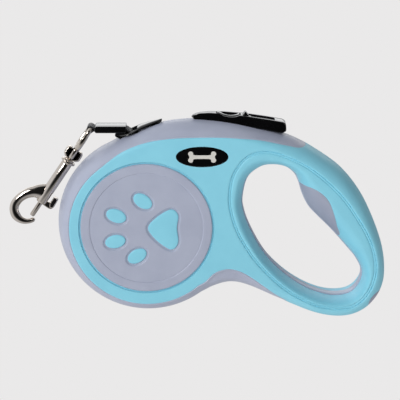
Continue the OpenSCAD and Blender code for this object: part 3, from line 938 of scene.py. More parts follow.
    def relief(self, rear: bool) -> Relief:
        """Lays out the points of one side and joins them.

        Args:
            rear: Whether it is the rear side, which has the screw wells.

        Returns:
            The woven relief.
        """
        out = Relief(lambda q: self.height(q, rear))
        rim = arc((0, 0), 34.2, 0, 360, 200)[:-1]
        out.chains = [self.outline, self.hole, self.cover, self.grip, rim, *self.heels]
        line_gap = distance(self.outline, self.engraving)
        reach = np.minimum(6.6 + 3.2 * ease((self.outline[:, 0] - 55) / 45), line_gap)
        angles = [7, 13, 20, 28, 36, 45, 54, 63, 73, 84]
        out.offset_rows(self.outline, [reach * (1 - math.cos(math.radians(a))) for a in angles])
        gap = distance(self.hole, self.engraving)
        out.offset_rows(self.hole, [-gap * t for t in (0.05, 0.13, 0.22, 0.32, 0.42, 0.52, 0.62, 0.72, 0.82,
                                                       0.91)])
        fine = respace(self.engraving, 0.55, True)
        out.offset_rows(fine, [-1.2, -0.75, -0.45, -0.22, 0.0, 0.22, 0.45, 0.67, 0.88, 1.1, 1.32, 1.55, 1.9])
        out.offset_rows(self.cover, [-1.5, -1.0, -0.5, -0.2, 0.2, 0.5, 1.0, 1.5])
        out.offset_rows(self.grip, [-0.5, -0.2, 0.2, 0.5])
        for heel in self.heels:
            out.offset_rows(heel, [-0.4, -0.2, 0.2, 0.4])
        for r in (35.3, 35.45, 35.6, 35.75, 35.9, 36.2, 37.2):
            out.rows.append(arc((0, 0), r, 0, 360, 200)[:-1])
        if rear:
            for x, z in self.screws:
                for r in (2.4, 2.75, 2.9, 3.05, 3.3):
                    out.rows.append(arc((x, z), r, 0, 360, 32)[:-1])
        across, up = np.meshgrid(np.arange(-50, 130, 2.6), np.arange(-54, 58, 2.6))
        across = across + np.where(np.arange(up.shape[0]) % 2 == 0, 0.0, 1.3)[:, None]
        grid = np.stack([across.ravel(), up.ravel()], axis=1)
        grid = grid[np.hypot(grid[:, 0], grid[:, 1]) > 38.5]
        out.rows.append(grid[self.on_case(grid) & (distance(grid, self.outline) > 1.0)
                             & (distance(grid, self.engraving) > 1.6) & (distance(grid, self.hole) > 0.8)])
        q = np.vstack(out.rows)
        out.rows = [q[self.on_case(q)]]
        out.weave()
        return out

    def on_case(self, q: Points) -> Points:
        """Whether plan points lie on the case and outside the finger opening."""
        return within(q, self.outline) & ~within(q, self.hole)


@dataclass
class Case:
    """Shells, covers, soft grip and heel pads of the case."""

    form: CaseForm
    finishes: Finishes
    wall: float = 1.8

    def side(self, rear: bool) -> dict[str, Surface]:
        """Cuts one side into its pieces.

        Args:
            rear: Whether it is the rear side.

        Returns:
            A solid for each piece.
        """
        form = self.form
        relief = form.relief(rear)
        mid = relief.middles()
        on = form.on_case(mid) & (np.hypot(mid[:, 0], mid[:, 1]) > 34.2)
        grip = on & within(mid, form.grip)
        heel = on & (within(mid, form.heels[0]) | within(mid, form.heels[1]))
        blue = on & within(mid, form.cover) & ~grip & ~heel
        grey = on & ~within(mid, form.cover) & ~heel

        def under(q: Points, top: Points) -> Points:
            """Lower face, one wall below the outside."""
            return np.maximum(top - self.wall, 0.0)

        edge = distance(relief.plan, form.outline) < 0.004
        normal = turned_in(form.outline)
        for i in np.where(edge)[0]:
            near = np.argmin(np.sum((form.outline - relief.plan[i]) ** 2, axis=1))
            relief.plan[i] += 0.16 * normal[near]
        parts = {"cover": blue, "shell": grey, "grip": grip, "heel": heel}
        solids = {name: relief.solid(keep, under) for name, keep in parts.items()}
        return {k: s.flipped() for k, s in solids.items()} if rear else solids

    def lining(self) -> Surface:
        """The grey ring that lines the middle of the finger opening."""
        line, half = self.form.hole, self.form.lining_half
        normal = turned_in(line)
        section = [(0.15, half), (-0.15, half - 0.12), (-0.4, half - 0.45), (-0.5, half - 1.0), (-0.5, 0.0),
                   (-0.5, 1.0 - half), (-0.4, 0.45 - half), (-0.15, 0.12 - half), (0.15, -half), (1.6, -half),
                   (1.6, half)]
        rings = [np.column_stack([line - normal * off, np.full(len(line), h)]) for off, h in section]
        return rings_surface(rings, closed=True)

    def build(self) -> None:
        """Makes the pieces of the case."""
        front, rear = self.side(False), self.side(True)
        look = self.finishes
        lining = self.lining()
        pieces = [
            ("front_blue_cover", front["cover"], look.blue, "blue_cover", ["front_cover"]),
            ("rear_blue_cover", rear["cover"], look.blue, "blue_cover", ["rear_cover"]),
            ("front_grey_shell", Surface.joined([front["shell"], lining]), look.grey, "grey_shell",
             ["front_shell"]),
            ("rear_grey_shell", rear["shell"], look.grey, "grey_shell", ["rear_shell"]),
            ("soft_finger_grip", Surface.joined([front["grip"], rear["grip"]]), look.soft, "soft_grey",
             ["finger_grip"]),
            ("soft_heel_pads", Surface.joined([front["heel"], rear["heel"]]), look.soft, "soft_grey",
             ["heel_pads"]),
        ]
        for name, surface, finish, slot, nodes in pieces:
            place_piece(surface.make(name, finish, crease=42), "case", slot, *nodes)


@dataclass
class PawDisc:
    """The round plate of each face, with a paw let into it."""

    finishes: Finishes
    radius: float = 34.7
    ring: float = 29.9
    top: float = 15.45
    channel: float = 1.45
    floor: float = 14.25
    toes: tuple[tuple[float, float, float], ...] = ((-1.8, 14.6, -35), (-15.8, 6.6, -22), (-16.4, -7.4, 12),
                                                    (-5, -15.4, 32))
    toe_half: tuple[float, float] = (5.5, 3.65)

    def __post_init__(self) -> None:
        """Draws the paw."""
        self.prints = [ellipse((x, z), self.toe_half, tilt, 56) for x, z, tilt in self.toes]
        pad = [[0.8, 0], [5.5, -7], [13, -11.8], [16.8, -8], [16.2, 0], [16.8, 7], [13, 10.2], [5.5, 6]]
        self.prints.append(spline(pad, True, 0.6))

    def away(self, q: Points) -> Points:
        """Distance from the paw, 0 on it."""
        out = np.full(len(q), 1e3)
        for line in self.prints:
            out = np.minimum(out, np.where(within(q, line), 0.0, distance(q, line)))
        return out

    def plate_height(self, q: Points) -> Points:
        """Height of the plate's face."""
        r = np.hypot(q[:, 0], q[:, 1])
        level = np.full(len(q), self.top) - 0.1 * ease((r - 32) / 2.7)
        fall = np.clip((r - (self.radius - 0.5)) / 0.5, 0.0, 1.0)
        level -= 0.45 * (1 - np.sqrt(1 - fall**2))
        level -= 0.34 * ease((self.ring + 0.1 - r) / 0.3)
        level -= 0.16 * np.exp(-(((r - self.ring) / 0.22) ** 2))
        slope = ease((self.away(q) - 0.3) / (self.channel - 0.3))
        return self.floor + (level - self.floor) * slope

    def print_height(self, q: Points) -> Points:
        """Height of the paw's own face: crowned, with rounded edges."""
        depth = np.full(len(q), 0.0)
        for line in self.prints:
            depth = np.maximum(depth, np.where(within(q, line), distance(q, line), 0.0))
        t = np.clip(depth / 0.9, 0.0, 1.0)
        return 14.35 + 0.6 * np.sqrt(1 - (1 - t) ** 2) + 0.12 * ease(depth / 3.2)

    def build(self) -> None:
        """Makes both plates and both paws."""
        plate = Relief(self.plate_height)
        edge = arc((0, 0), self.radius, 0, 360, 220)[:-1]
        plate.chains = [edge]
        for r in (34.66, 34.6, 34.5, 34.35, 34.2, 33, 31.5, 30.4, 30.15, 30.0, 29.9, 29.8, 29.65, 29.4, 28):
            plate.rows.append(arc((0, 0), r, 0, 360, 200)[:-1])
        for line in self.prints:
            plate.offset_rows(line, [-1.9, -1.6, -1.45, -1.25, -1.05, -0.85, -0.65, -0.45, -0.3, -0.1, 0.4])
        across, up = np.meshgrid(np.arange(-34, 34, 1.9), np.arange(-34, 34, 1.9))
        grid = np.stack([across.ravel(), up.ravel()], axis=1)
        plate.rows.append(grid[(np.hypot(grid[:, 0], grid[:, 1]) < 27.4)])
        plate.weave()
        body = plate.solid(np.ones(len(plate.triangles), dtype=bool), lambda q, top: np.full(len(q), 13.4))
        paw = Relief(self.print_height)
        for line in self.prints:
            own = line + turned_in(line) * 0.05
            paw.chains.append(own)
            paw.offset_rows(own, [0.04, 0.1, 0.2, 0.32, 0.47, 0.66, 0.9, 1.6, 2.4])
        paw.weave()
        mid = paw.middles()
        keep = np.zeros(len(mid), dtype=bool)
        for line in paw.chains:
            keep |= within(mid, line)
        pads = paw.solid(keep, lambda q, top: np.full(len(q), 14.2))
        look = self.finishes
        for side, flip in (("front", False), ("rear", True)):
            disc = body.flipped() if flip else body
            pad = pads.flipped() if flip else pads
            place_piece(disc.make(f"{side}_paw_plate", look.grey, crease=35), "case", "grey_shell",
                        f"{side}_disc")
            place_piece(pad.make(f"{side}_paw_inlay", look.blue, crease=50), "case", "blue_cover",
                        f"{side}_paw_pads")


@dataclass
class Badge:
    """The glossy lens on each cover, with a plain bone printed on it."""

    finishes: Finishes
    centre: tuple[float, float] = (29.3, 38.6)
    half: tuple[float, float] = (13.95, 5.75)
    bluntness: float = 2.08

    def __post_init__(self) -> None:
        """Draws the lens and the bone."""
        a = np.linspace(0.0, 2 * math.pi, 160, endpoint=False)
        c, s = np.cos(a), np.sin(a)
        power = 2 / self.bluntness
        shape = np.stack([self.half[0] * np.sign(c) * np.abs(c) ** power,
                          self.half[1] * np.sign(s) * np.abs(s) ** power], axis=1)
        self.lens = respace(shape, 0.45, True) + np.array(self.centre)
        quarter = [(0.0, 0.95), (3.4, 1.0), (4.6, 1.35), (4.75, 2.35), (5.7, 3.0), (6.9, 2.6), (7.3, 1.5),
                   (6.7, 0.45)]
        right = quarter + [(x, -z) for x, z in quarter[::-1]]
        bone = right + [(-x, -z) for x, z in right if x > 0.1]
        self.bone = anticlockwise(spline(bone, True, 0.35)) + np.array(self.centre)

    def height(self, q: Points) -> Points:
        """Height of the lens: a rolled edge and a shallow crown."""
        d = distance(q, self.lens)
        t = np.clip(d / 0.9, 0.0, 1.0)
        return 14.95 + 0.32 * np.sqrt(1 - (1 - t) ** 2) + 0.17 * (1 - (1 - np.clip(d / 5.4, 0, 1)) ** 2)

    def build(self) -> None:
        """Makes both badges."""
        lens = Relief(self.height, [self.lens])
        lens.offset_rows(self.lens, [0.03, 0.1, 0.2, 0.33, 0.5, 0.7, 0.95, 1.3, 1.8, 2.4, 3.1, 3.9, 4.8])
        lens.weave()
        keep = within(lens.middles(), self.lens)
        glass = lens.solid(keep, lambda q, top: np.full(len(q), 14.4))
        mark = Relief(lambda q: self.height(q) + 0.03, [self.bone])
        mark.offset_rows(self.bone, [0.3, 0.8])
        mark.weave()
        ink = mark.solid(within(mark.middles(), self.bone), lambda q, top: top - 0.1)
        for side, flip in (("front", False), ("rear", True)):
            part, sign = (glass.flipped(), ink.flipped()) if flip else (glass, ink)
            place_piece(part.make(f"{side}_badge_lens", self.finishes.black, crease=50), "case",
                        "gloss_black", f"{side}_badge")
            place_piece(sign.make(f"{side}_badge_bone", self.finishes.ink), "case", "grey_shell")


# --------------------------------------------------------------------------------------------------
# Black parts on the top of the case
# --------------------------------------------------------------------------------------------------
def cut_from(obj: bpy.types.Object, cutters: Sequence[Surface], crease: float = 35.0,
             bevel: float = 0.0) -> bpy.types.Object:
    """Cuts closed surfaces out of a piece.

    Args:
        obj: Closed piece.
        cutters: Closed surfaces in the case's plane.
        crease: Angle in degrees past which an edge stays sharp.
        bevel: Width in millimetres of a small round on the edges, if any.

    Returns:
        The piece, with the cuts and the rounding in its mesh.
    """
    tools = [cutter.make(f"{obj.name}_cut{i}", obj.data.materials[0]) for i, cutter in enumerate(cutters)]
    for tool in tools:
        cut = obj.modifiers.new("cut", "BOOLEAN")
        cut.operation = "DIFFERENCE"
        cut.solver = "EXACT"
        cut.object = tool
    if bevel:
        round_off = obj.modifiers.new("round", "BEVEL")
        round_off.width = bevel * MM
        round_off.segments = 2
        round_off.limit_method = "ANGLE"
        round_off.angle_limit = math.radians(40)
    bpy.context.view_layer.update()
    mesh = bpy.data.meshes.new_from_object(obj.evaluated_get(bpy.context.evaluated_depsgraph_get()))
    obj.modifiers.clear()
    obj.data = mesh
    for tool in tools:
        bpy.data.objects.remove(tool)
    finish_mesh(mesh, crease)
    return obj


def block(a0: float, a1: float, b0: float, b1: float, half: float, corner: float = 0.4, edge: float = 0.0,
          shift: float = 0.0) -> Surface:
    """A rounded block in the working plane, at depths from shift - half to shift + half."""
    line = fillet([[a0, b0], [a1, b0], [a1, b1], [a0, b1]], corner, 3)
    made = slab(line, half, max(edge, 0.01), steps=3 if edge else 1)
    return Surface(made.points + np.array([0.0, 0.0, shift]), made.faces)


@dataclass
class Nozzle:
    """The beak that the tape leaves through."""

    finishes: Finishes
    half: float = 6.2
    channel: float = 4.9
    arch: float = 1.7

    def build(self) -> None:
        """Makes the beak with its arched hood and open channel."""
        hood = [[8.3, 55.9], [1.6, 54.1], [-3.2, 52.5], [-5.4, 51.4], [-7.6, 50.3], [-10.2, 49.4],
                [-13.2, 48.8],
                [-16.7, 47.9], [-16.4, 46.4], [-12, 44.9], [-7, 45.2], [-1, 47.0], [4, 50.2], [8.1, 54.9]]
        line = anticlockwise(respace(fillet(hood, 0.9, 4), 0.45, True))
        normal = turned_in(line)
        right = np.interp(line[:, 0], (-6.5, -3.5, 2.0, 6.0, 8.6), (1.0, 0.84, 0.58, 0.34, 0.06))
        left = 0.3 + 0.7 * ease((line[:, 0] + 18) / 9)
        wide = self.half * np.minimum(right, left)
        upper = np.clip(-normal[:, 1], 0.0, 1.0)
        rings = []
        for u in np.linspace(-1.0, 1.0, 25):
            h = math.sin(u * math.pi / 2)
            drop = self.arch * (1 - math.sqrt(max(0.0, 1 - abs(h) ** 3.2)))
            ring = line.copy()
            ring[:, 1] -= drop * upper
            rings.append(np.column_stack([ring, wide * h]))
        beak = rings_surface(rings)
        mouth = fillet([[-22, 51.2], [-22, 49.3], [-13, 48.9], [-9.5, 48.4], [-5.0, 47.9], [-3.5, 48.8],
                        [-3.6, 50.7], [-4.8, 51.6], [-7.0, 56.5], [-22, 56.5]], 0.7, 3)
        piece = beak.make("tape_nozzle_beak", self.finishes.black, mend=True)
        piece = cut_from(piece, [slab(mouth, self.channel, 0.9, steps=4)], crease=30, bevel=0.16)
        place_piece(piece, "case", "gloss_black", "tape_nozzle")


@dataclass
class Brake:
    """Brake block with its thumb button and its lock slider."""

    finishes: Finishes
    half: float = 4.8
    slot_half: float = 2.5
    button_x: tuple[float, float] = (36.6, 49.6)
    slope: float = -8.0

    def build(self) -> None:
        """Makes block, button and slider."""
        look = self.finishes
        side = [[23.4, 57.2], [25.4, 58.3], [28.0, 58.9], [33, 59.3], [41, 59.0], [50, 58.2], [54, 57.7],
                [64, 56.2], [72.2, 54.7], [73.3, 53.6], [73.5, 51.2], [73.5, 49.7], [71, 48.8], [60, 50.8],
                [45, 52.4], [30, 53.6], [26.0, 54.8]]
        outline = respace(fillet(side, 0.8, 3), 0.5, True)

        def share(line: Points) -> Points:
            """Draws the left end in to a point, like a boat's bow."""
            return np.interp(line[:, 0], (23.2, 24.6, 27, 33, 40, 50, 58, 71, 73.6),
                             (0.08, 0.28, 0.42, 0.56, 0.72, 0.92, 1.0, 1.0, 0.84))

        body = slab(outline, self.half, 0.5, share, steps=4)
        pocket = block(self.button_x[0], self.button_x[1], 50.0, 70.0, self.slot_half, 0.8)
        run = [[50.6, 55.3], [67.5, 52.9], [67.5, 70.0], [50.6, 70.0]]
        slot = slab(fillet(run, 0.3, 2), 3.2, 0.01, steps=1)
        low = spline([(36.8, 61), (38.6, 59.2), (41.0, 57.9), (44.0, 57.4), (47.0, 57.6), (49.2, 58.6),
                      (50.4, 61)],
                     False, 0.4)
        dip = slab(anticlockwise(low), 4.2, 0.01, steps=1)
        dip.points[:, 2] += 1.8
        piece = cut_from(body.make("brake_block", look.black), [pocket, slot, dip], crease=32, bevel=0.14)
        place_piece(piece, "case", "black_plastic", "brake_bezel")

        x0, x1 = self.button_x[0] + 0.3, self.button_x[1] - 0.5
        dish = spline([(34, 59.8), (x0 + 0.4, 59.6), (38.8, 59.2), (41.0, 58.3), (44.0, 57.8), (47.0, 58.0),
                       (x1 - 0.3, 58.5), (51, 59.0)], False, 0.4)
        kept = dish[(dish[:, 0] > x0 + 0.2) & (dish[:, 0] < x1 - 0.2)]
        shape = [(x0, 51.0), (x1, 51.0), (x1, 58.1)] + [tuple(p) for p in kept[::-1]] + [(x0, 59.1)]
        button = slab(anticlockwise(np.array(shape)), self.slot_half - 0.35, 0.45, steps=4)
        place_piece(button.make("brake_thumb_button", look.black, crease=50), "button", "black_plastic",
                    "brake_button")

        left = [(49.6 + t * 2.1, 57.6 + 2.1 * t**1.3) for t in np.linspace(0, 1, 8)]
        right = [(55.0 - t * 2.8, 57.0 + 2.7 * t**1.4) for t in np.linspace(0, 1, 10)]
        ridge = slab(anticlockwise(np.array(left + right[::-1])), 2.2, 0.3, steps=3)
        foot = block(50.6, 53.8, 55.4, 58.3, 1.4, 0.3, 0.2)
        slider = Surface.joined([ridge, foot])
        place_piece(slider.make("lock_slider_ridge", look.black, crease=40), "slider", "black_plastic",
                    "lock_slider")


# --------------------------------------------------------------------------------------------------
# Tape, stopper and snap
# --------------------------------------------------------------------------------------------------
@dataclass
class TapeEnd:
    """Woven tape from the reel to the snap, with its stopper."""

    finishes: Finishes
    width: float = 9.0
    thick: float = 0.8
    stop_x: float = PIVOT[0] + 2.4
    stop_length: float = 16.4

    def ribbon(self, path: Points, half: float, thick: Optional[float] = None) -> Surface:
        """A flat ribbon on edge along a path in the case's plane."""
        t = self.thick if thick is None else thick
        d = np.gradient(path, axis=0)
        d /= np.linalg.norm(d, axis=1, keepdims=True)
        n = np.stack([-d[:, 1], d[:, 0]], axis=1)
        line = np.vstack([path + n * t / 2, (path - n * t / 2)[::-1]])
        return slab(line, half, 0.16, steps=2)

    def build(self) -> None:
        """Makes stopper, tape loop and the tape that is drawn out."""
        x0, x1, z = self.stop_x, self.stop_x + self.stop_length, PIVOT[1]
        shape = [[x0, z - 1.3], [x0 + 0.6, z - 1.8], [x1, z - 1.8], [x1, z + 1.8], [x0 + 0.5, z + 1.8],
                 [x0, z + 1.2]]
        stop = slab(respace(fillet(shape, 0.35, 3), 0.3, True), self.width / 2 + 0.5, 0.35, steps=4)
        place_piece(stop.make("tape_stopper_block", self.finishes.black, crease=35), "tape_end",
                    "gloss_black", "tape_stopper")

        ring = arc((PIVOT[0], z), 1.62, 28, 332, 30)
        tail = [(x0 + 0.8, z + 0.75)]
        path = np.vstack([tail, ring, [(x0 + 0.8, z - 0.75)]])
        loop = self.ribbon(respace(path, 0.3, False), self.width / 2, self.thick * 0.7)
        place_piece(loop.make("tape_end_loop", self.finishes.tape, crease=50), "tape_end", "tape",
                    "tape_loop")

        coil_r = 42.8
        start = np.array([coil_r * math.cos(math.radians(69)), coil_r * math.sin(math.radians(69))])
        run = np.vstack([start, [(-9.0, 49.8), (-10.0, 50.55), (-10.4, 50.68), (-11.0, 50.7), (-12.5, 50.7),
                                 (-14.5, 50.7)]])
        strip = self.ribbon(run, self.width / 2).make("drawn_tape", self.finishes.tape, crease=50)
        place_between(strip, "tape_run", ("case", "tape_end"))


@dataclass
class BoltSnap:
    """Swivel eye, hook and sliding bolt, in the hanging frame of the snap."""

    finishes: Finishes
    barrel_r: float = 2.95
    bolt_r: float = 1.35
    hook_low: tuple[float, float] = (56.25, -10.85)
    root_bend: float = 13.45
    nose_bend: float = 6.65

    def swivel(self) -> None:
        """Makes the eye with its two petals, and the post in the barrel."""
        turns = [(0.0, 0.0), (0.0, 4.6), (0.9, 6.0), (3.0, 6.25), (8.0, 6.1), (11.0, 5.2), (12.9, 3.4),
                 (13.4, 0.0)]
        half_loop = turns + [(s, -h) for s, h in turns[-2:0:-1]]
        line = spline(half_loop, True, 0.5)
        path = np.column_stack([line[:, 0], np.zeros(len(line)), line[:, 1]])
        across = 1.25 + 0.3 * ease((path[:, 0] - 1.2) / 6.5)
        thin = 1.25 - 0.3 * ease((path[:, 0] - 1.2) / 4)
        eye = tube(path, np.column_stack([thin, across]), 18, closed=True, up=(0.0, 1.0, 0.0))
        petal = [[13.9, 2.1], [13.8, 3.6], [14.9, 4.7], [18.4, 4.8], [19.8, 3.4], [20.2, 0.0]]
        mirrored = [[s, -t] for s, t in petal[-2::-1]]
        notch = [[18.6, -1.9], [17.9, 0.0], [18.6, 1.9]]
        outline = respace(fillet(petal + mirrored + notch, 0.45, 4), 0.3, True)
        petals = slab(outline, 2.1, 1.1, steps=6)
        spine = tube(np.array([[9.5, 0, 1.1], [13, 0, 1.6], [18.6, 0, 1.9], [19.9, 0, 1.2]]),
                     np.array([[1.3, 1.1], [1.5, 1.2], [1.5, 1.1], [1.1, 0.9]]), 14)
        back = spine.flipped()
        post = turned([(19.2, 0.02), (19.3, 1.5), (23.9, 1.5), (24.0, 2.2), (25.1, 2.2), (25.2, 0.02)], 24)
        whole = Surface.joined([eye, petals, spine, back, post])
        place_piece(whole.make("swivel_eye_loop", self.finishes.nickel, HANG, crease=45), "swivel", "nickel",
                    "swivel_eye")

    def body(self) -> None:
        """Makes the barrel with its collar, and the hook."""
        r = self.barrel_r
        bead = [(21.0 + 0.8 * (1 - math.cos(a)), 3.1 + 0.95 * math.sin(a)) for a in np.linspace(0.0, math.pi,
                                                                                                9)]
        outside = [(20.3, 1.56), (20.3, 2.5), (20.7, 2.9), *bead, (22.8, 2.9), (23.2, r - 0.1), (23.9, r),
                   (47.9, r),
                   (48.7, r - 0.35), (48.9, r - 0.8)]
        bore = [(48.9, 1.45), (26.6, 1.45), (25.8, 2.35), (23.2, 2.35), (22.6, 1.56)]
        barrel = turned(outside + bore, 44, loop=True)
        piece = barrel.make("snap_hook_body", self.finishes.nickel, HANG, mend=True)
        slot = block(41.2, 60.0, 0.4, 6.0, 1.35, 0.9)
        tool = slot.make("snap_slot_cut", self.finishes.nickel, HANG)
        cut = piece.modifiers.new("cut", "BOOLEAN")
        cut.solver, cut.object = "EXACT", tool
        low_s, low_t = self.hook_low
        root = arc((low_s, low_t + self.root_bend), self.root_bend, -162, -90, 38)
        nose = arc((low_s, low_t + self.nose_bend), self.nose_bend, -90, 68.5, 41)
        plan = np.vstack([root, nose[1:]])
        share = np.linspace(0.0, 1.0, len(plan))
        broad = np.interp(share, (0.0, 0.055, 0.155, 0.27, 0.39, 0.7, 0.78, 0.9, 0.99, 1.0),
                          (4.87, 4.2, 3.03, 2.6, 2.37, 2.46, 2.02, 1.38, 1.31, 1.0))
        path = np.column_stack([plan, np.zeros(len(plan))])
        deep = np.interp(share, (0.0, 0.25, 0.7, 1.0), (2.5, 2.2, 1.7, 1.3))
        hook = tube(path, np.column_stack([broad, deep]), 28).make("hook_part", self.finishes.nickel, HANG)
        bpy.context.view_layer.update()
        graph = bpy.context.evaluated_depsgraph_get()
        whole = bmesh.new()
        for part in (piece, hook):
            mesh = bpy.data.meshes.new_from_object(part.evaluated_get(graph))
            whole.from_mesh(mesh)
        piece.modifiers.clear()
        whole.to_mesh(piece.data)
        whole.free()
        for spare in (tool, hook):
            bpy.data.objects.remove(spare)
        finish_mesh(piece.data, 42)
        place_piece(piece, "snap", "nickel", "snap_body")

    def bolt(self) -> None:
        """Makes the sliding bolt with its bent thumb lever."""
        b = self.bolt_r
        rod = turned([(38.0, 0.02), (38.1, b - 0.15), (38.3, b), (56.9, b), (57.5, b - 0.3), (57.8, 0.02)],
                     26)
        shape = [[46.2, 0.0], [49.1, 0.0], [49.3, 5.2], [48.9, 6.6], [47.2, 7.4], [42.3, 7.05], [41.9, 6.4],
                 [42.1, 4.6], [42.6, 4.3], [45.4, 4.4], [46.2, 3.7]]
        lever = slab(respace(fillet(shape, 0.7, 4), 0.3, True), 1.2, 0.45, steps=4)
        knob = [[42.0, 4.35], [46.8, 4.4], [48.6, 5.6], [47.4, 7.2], [42.3, 7.0]]
        thumb = slab(respace(fillet(knob, 0.6, 3), 0.3, True), 1.75, 0.5, steps=4)
        whole = Surface.joined([rod, lever, thumb])
        place_piece(whole.make("sliding_bolt", self.finishes.nickel, HANG, crease=42), "bolt", "nickel",
                    "snap_bolt")

    def build(self) -> None:
        """Makes the whole snap and its spring."""
        self.swivel()
        self.body()
        self.bolt()
        turn = np.linspace(0.0, 9 * 2 * math.pi, 9 * 14)
        path = np.stack([27.0 + 10.6 * turn / turn[-1], 1.0 * np.cos(turn), 1.0 * np.sin(turn)], axis=1)
        coil = wire_piece("bolt_coil_spring", self.finishes.spring, path, HANG, 0.2)
        place_between(coil, "bolt_spring", ("snap", "bolt"))


# --------------------------------------------------------------------------------------------------
# Inside the case
# --------------------------------------------------------------------------------------------------
@dataclass
class ReelWorks:
    """Wound tape, springs, toothed flange and screws."""

    finishes: Finishes
    form: CaseForm
    drum_r: float = 22.5
    flange_r: float = 43.8
    teeth: int = 24
    tooth: float = 1.7
    level: float = 5.0
    flange_t: float = 1.2

    def winding(self) -> None:
        """Winds the tape on the drum, one turn a tape's thickness past the last."""
        turns, inner, outer = 24.5, self.drum_r + 0.5, 41.9
        a = np.linspace(0.0, turns * 2 * math.pi, int(turns * 40))
        r = inner + (outer - inner) * a / a[-1]
        path = np.stack([r * np.cos(a), r * np.sin(a), np.zeros(len(a))], axis=1)
        coil = strip_piece("wound_tape", self.finishes.tape, path, 0.72, 9.0)
        place_piece(coil, "reel_group", "tape", "tape_coil")

    def power_spring(self) -> None:
        """Lays the flat spiral spring in the drum."""
        a = np.linspace(0.0, 9 * 2 * math.pi, 9 * 40)
        r = 20.0 - 0.6 * a / (2 * math.pi)
        b = np.linspace(0.0, math.pi, 16)[1:]
        tail = 14.6 + (5.2 - 14.6) * b / math.pi
        spiral = np.stack([r * np.cos(a), r * np.sin(a), np.full(len(a), -0.4)], axis=1)
        inner = np.stack([tail * np.cos(b), tail * np.sin(b), np.full(len(b), -0.4)], axis=1)
        spring = strip_piece("flat_power_spring", self.finishes.spring, np.vstack([spiral, inner]), 0.36, 6.6)
        place_piece(spring, "reel_group", "spring_steel", "power_spring")

    def flange(self) -> None:
        """Sets ratchet teeth round the front flange with Geometry Nodes."""
        sizes = {"Teeth": self.teeth, "Root radius": (self.flange_r - self.tooth) * MM,
                 "Tooth height": self.tooth * MM, "Thickness": self.flange_t * MM}
        tree = PartTree("ratchet_flange", self.finishes.acetal, sizes)
        ring = tree.add("GeometryNodeCurvePrimitiveCircle",
                        {"Resolution": tree.size("Teeth"), "Radius": tree.size("Root radius")})
        spots = tree.add("GeometryNodeCurveToPoints", {"Curve": ring.outputs[0], "Count": tree.size("Teeth")},
                         mode="COUNT")
        wedge = tree.add("GeometryNodeMeshCone",
                         {"Vertices": 4, "Radius Top": self.tooth * 0.75 * MM,
                          "Radius Bottom": self.tooth * 1.9 * MM,
                          "Depth": tree.size("Tooth height")})
        flat = tree.add("GeometryNodeTransform", {"Geometry": wedge.outputs[0], "Scale": (1.0, 0.42, 1.0)})
        place = tree.add("FunctionNodeAlignRotationToVector",
                         {"Vector": tree.add("GeometryNodeInputPosition").outputs[0]}, axis="Z")
        teeth = tree.add("GeometryNodeInstanceOnPoints",
                         {"Points": spots.outputs[0], "Instance": flat.outputs[0],
                          "Rotation": place.outputs[0]})
        plate_out = tree.add("GeometryNodeMeshCylinder",
                             {"Vertices": 96, "Radius": tree.size("Root radius"),
                              "Depth": tree.size("Thickness")})
        whole = tree.add("GeometryNodeJoinGeometry")
        tree.tree.links.new(teeth.outputs[0], whole.inputs[0])
        tree.tree.links.new(plate_out.outputs[0], whole.inputs[0])
        middle = CASE.to_frame(np.array([[0.0, 0.0, self.level + self.flange_t / 2]]))[0]
        stand = tree.add("GeometryNodeTransform",
                         {"Geometry": whole.outputs[0], "Rotation": (math.pi / 2, 0.0, 0.0),
                          "Translation": tuple(middle)})
        piece = tree.made(stand.outputs[0], CASE.to_frame(np.zeros((2, 3))))
        place_piece(piece, "reel_group", "natural_plastic", "reel_flange")

    def brake_spring(self) -> None:
        """Winds the spring under the brake lever."""
        turn = np.linspace(0.0, 5 * 2 * math.pi, 5 * 16)
        path = np.stack([38.0 + 2.0 * np.cos(turn), 35.4 + 6.7 * turn / turn[-1], 2.0 * np.sin(turn)], axis=1)
        coil = wire_piece("brake_coil_spring", self.finishes.spring, path, CASE, 0.3)
        place_between(coil, "brake_spring", ("case", "lever"))

    def screws(self) -> None:
        """Puts a cross-recessed screw in each well of the rear cover with Geometry Nodes."""
        head = turned([(0.0, 0.02), (0.0, 2.45), (0.25, 2.6), (0.7, 2.45), (1.15, 1.9), (1.4, 0.02)], 28)
        shank = turned([(-22.0, 0.02), (-21.0, 1.1), (0.02, 1.1), (0.02, 0.02)], 16)
        solid = Surface.joined([head, shank])
        master = solid.make("screw_master", self.finishes.steel)
        cross = [block(0.7, 3.0, -0.35, 0.35, 1.5), block(0.7, 3.0, -1.5, 1.5, 0.35)]
        source = cut_from(master, cross, crease=30)
        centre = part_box("axle")
        shift = Vector(((centre[0].x + centre[1].x) / 2, 0.0, (centre[0].z + centre[1].z) / 2))
        source.data.transform(Matrix.Rotation(math.pi / 2, 4, "Z") @ Matrix.Translation(-shift))
        tree = PartTree("case_screw_set", self.finishes.steel, {"Seat depth": 13.4 * MM})
        seat = tree.add("ShaderNodeCombineXYZ", {"Y": tree.size("Seat depth")})
        lifted = tree.add("GeometryNodeSetPosition",
                          {"Geometry": tree.given.outputs[0], "Offset": seat.outputs[0]})
        dots = tree.add("GeometryNodeMeshToPoints", {"Mesh": lifted.outputs[0]})
        one = tree.add("GeometryNodeObjectInfo", {"Object": source})
        put = tree.add("GeometryNodeInstanceOnPoints",
                       {"Points": dots.outputs[0], "Instance": one.outputs["Geometry"]})
        spots = CASE.to_frame(np.array([[x, z, 0.0] for x, z in self.form.screws]))
        piece = tree.made(put.outputs[0], spots)
        bpy.data.objects.remove(source)
        place_piece(piece, "case", "steel", "case_screws")

    def build(self) -> None:
        """Makes everything inside."""
        self.winding()
        self.power_spring()
        self.flange()
        self.brake_spring()
        self.screws()


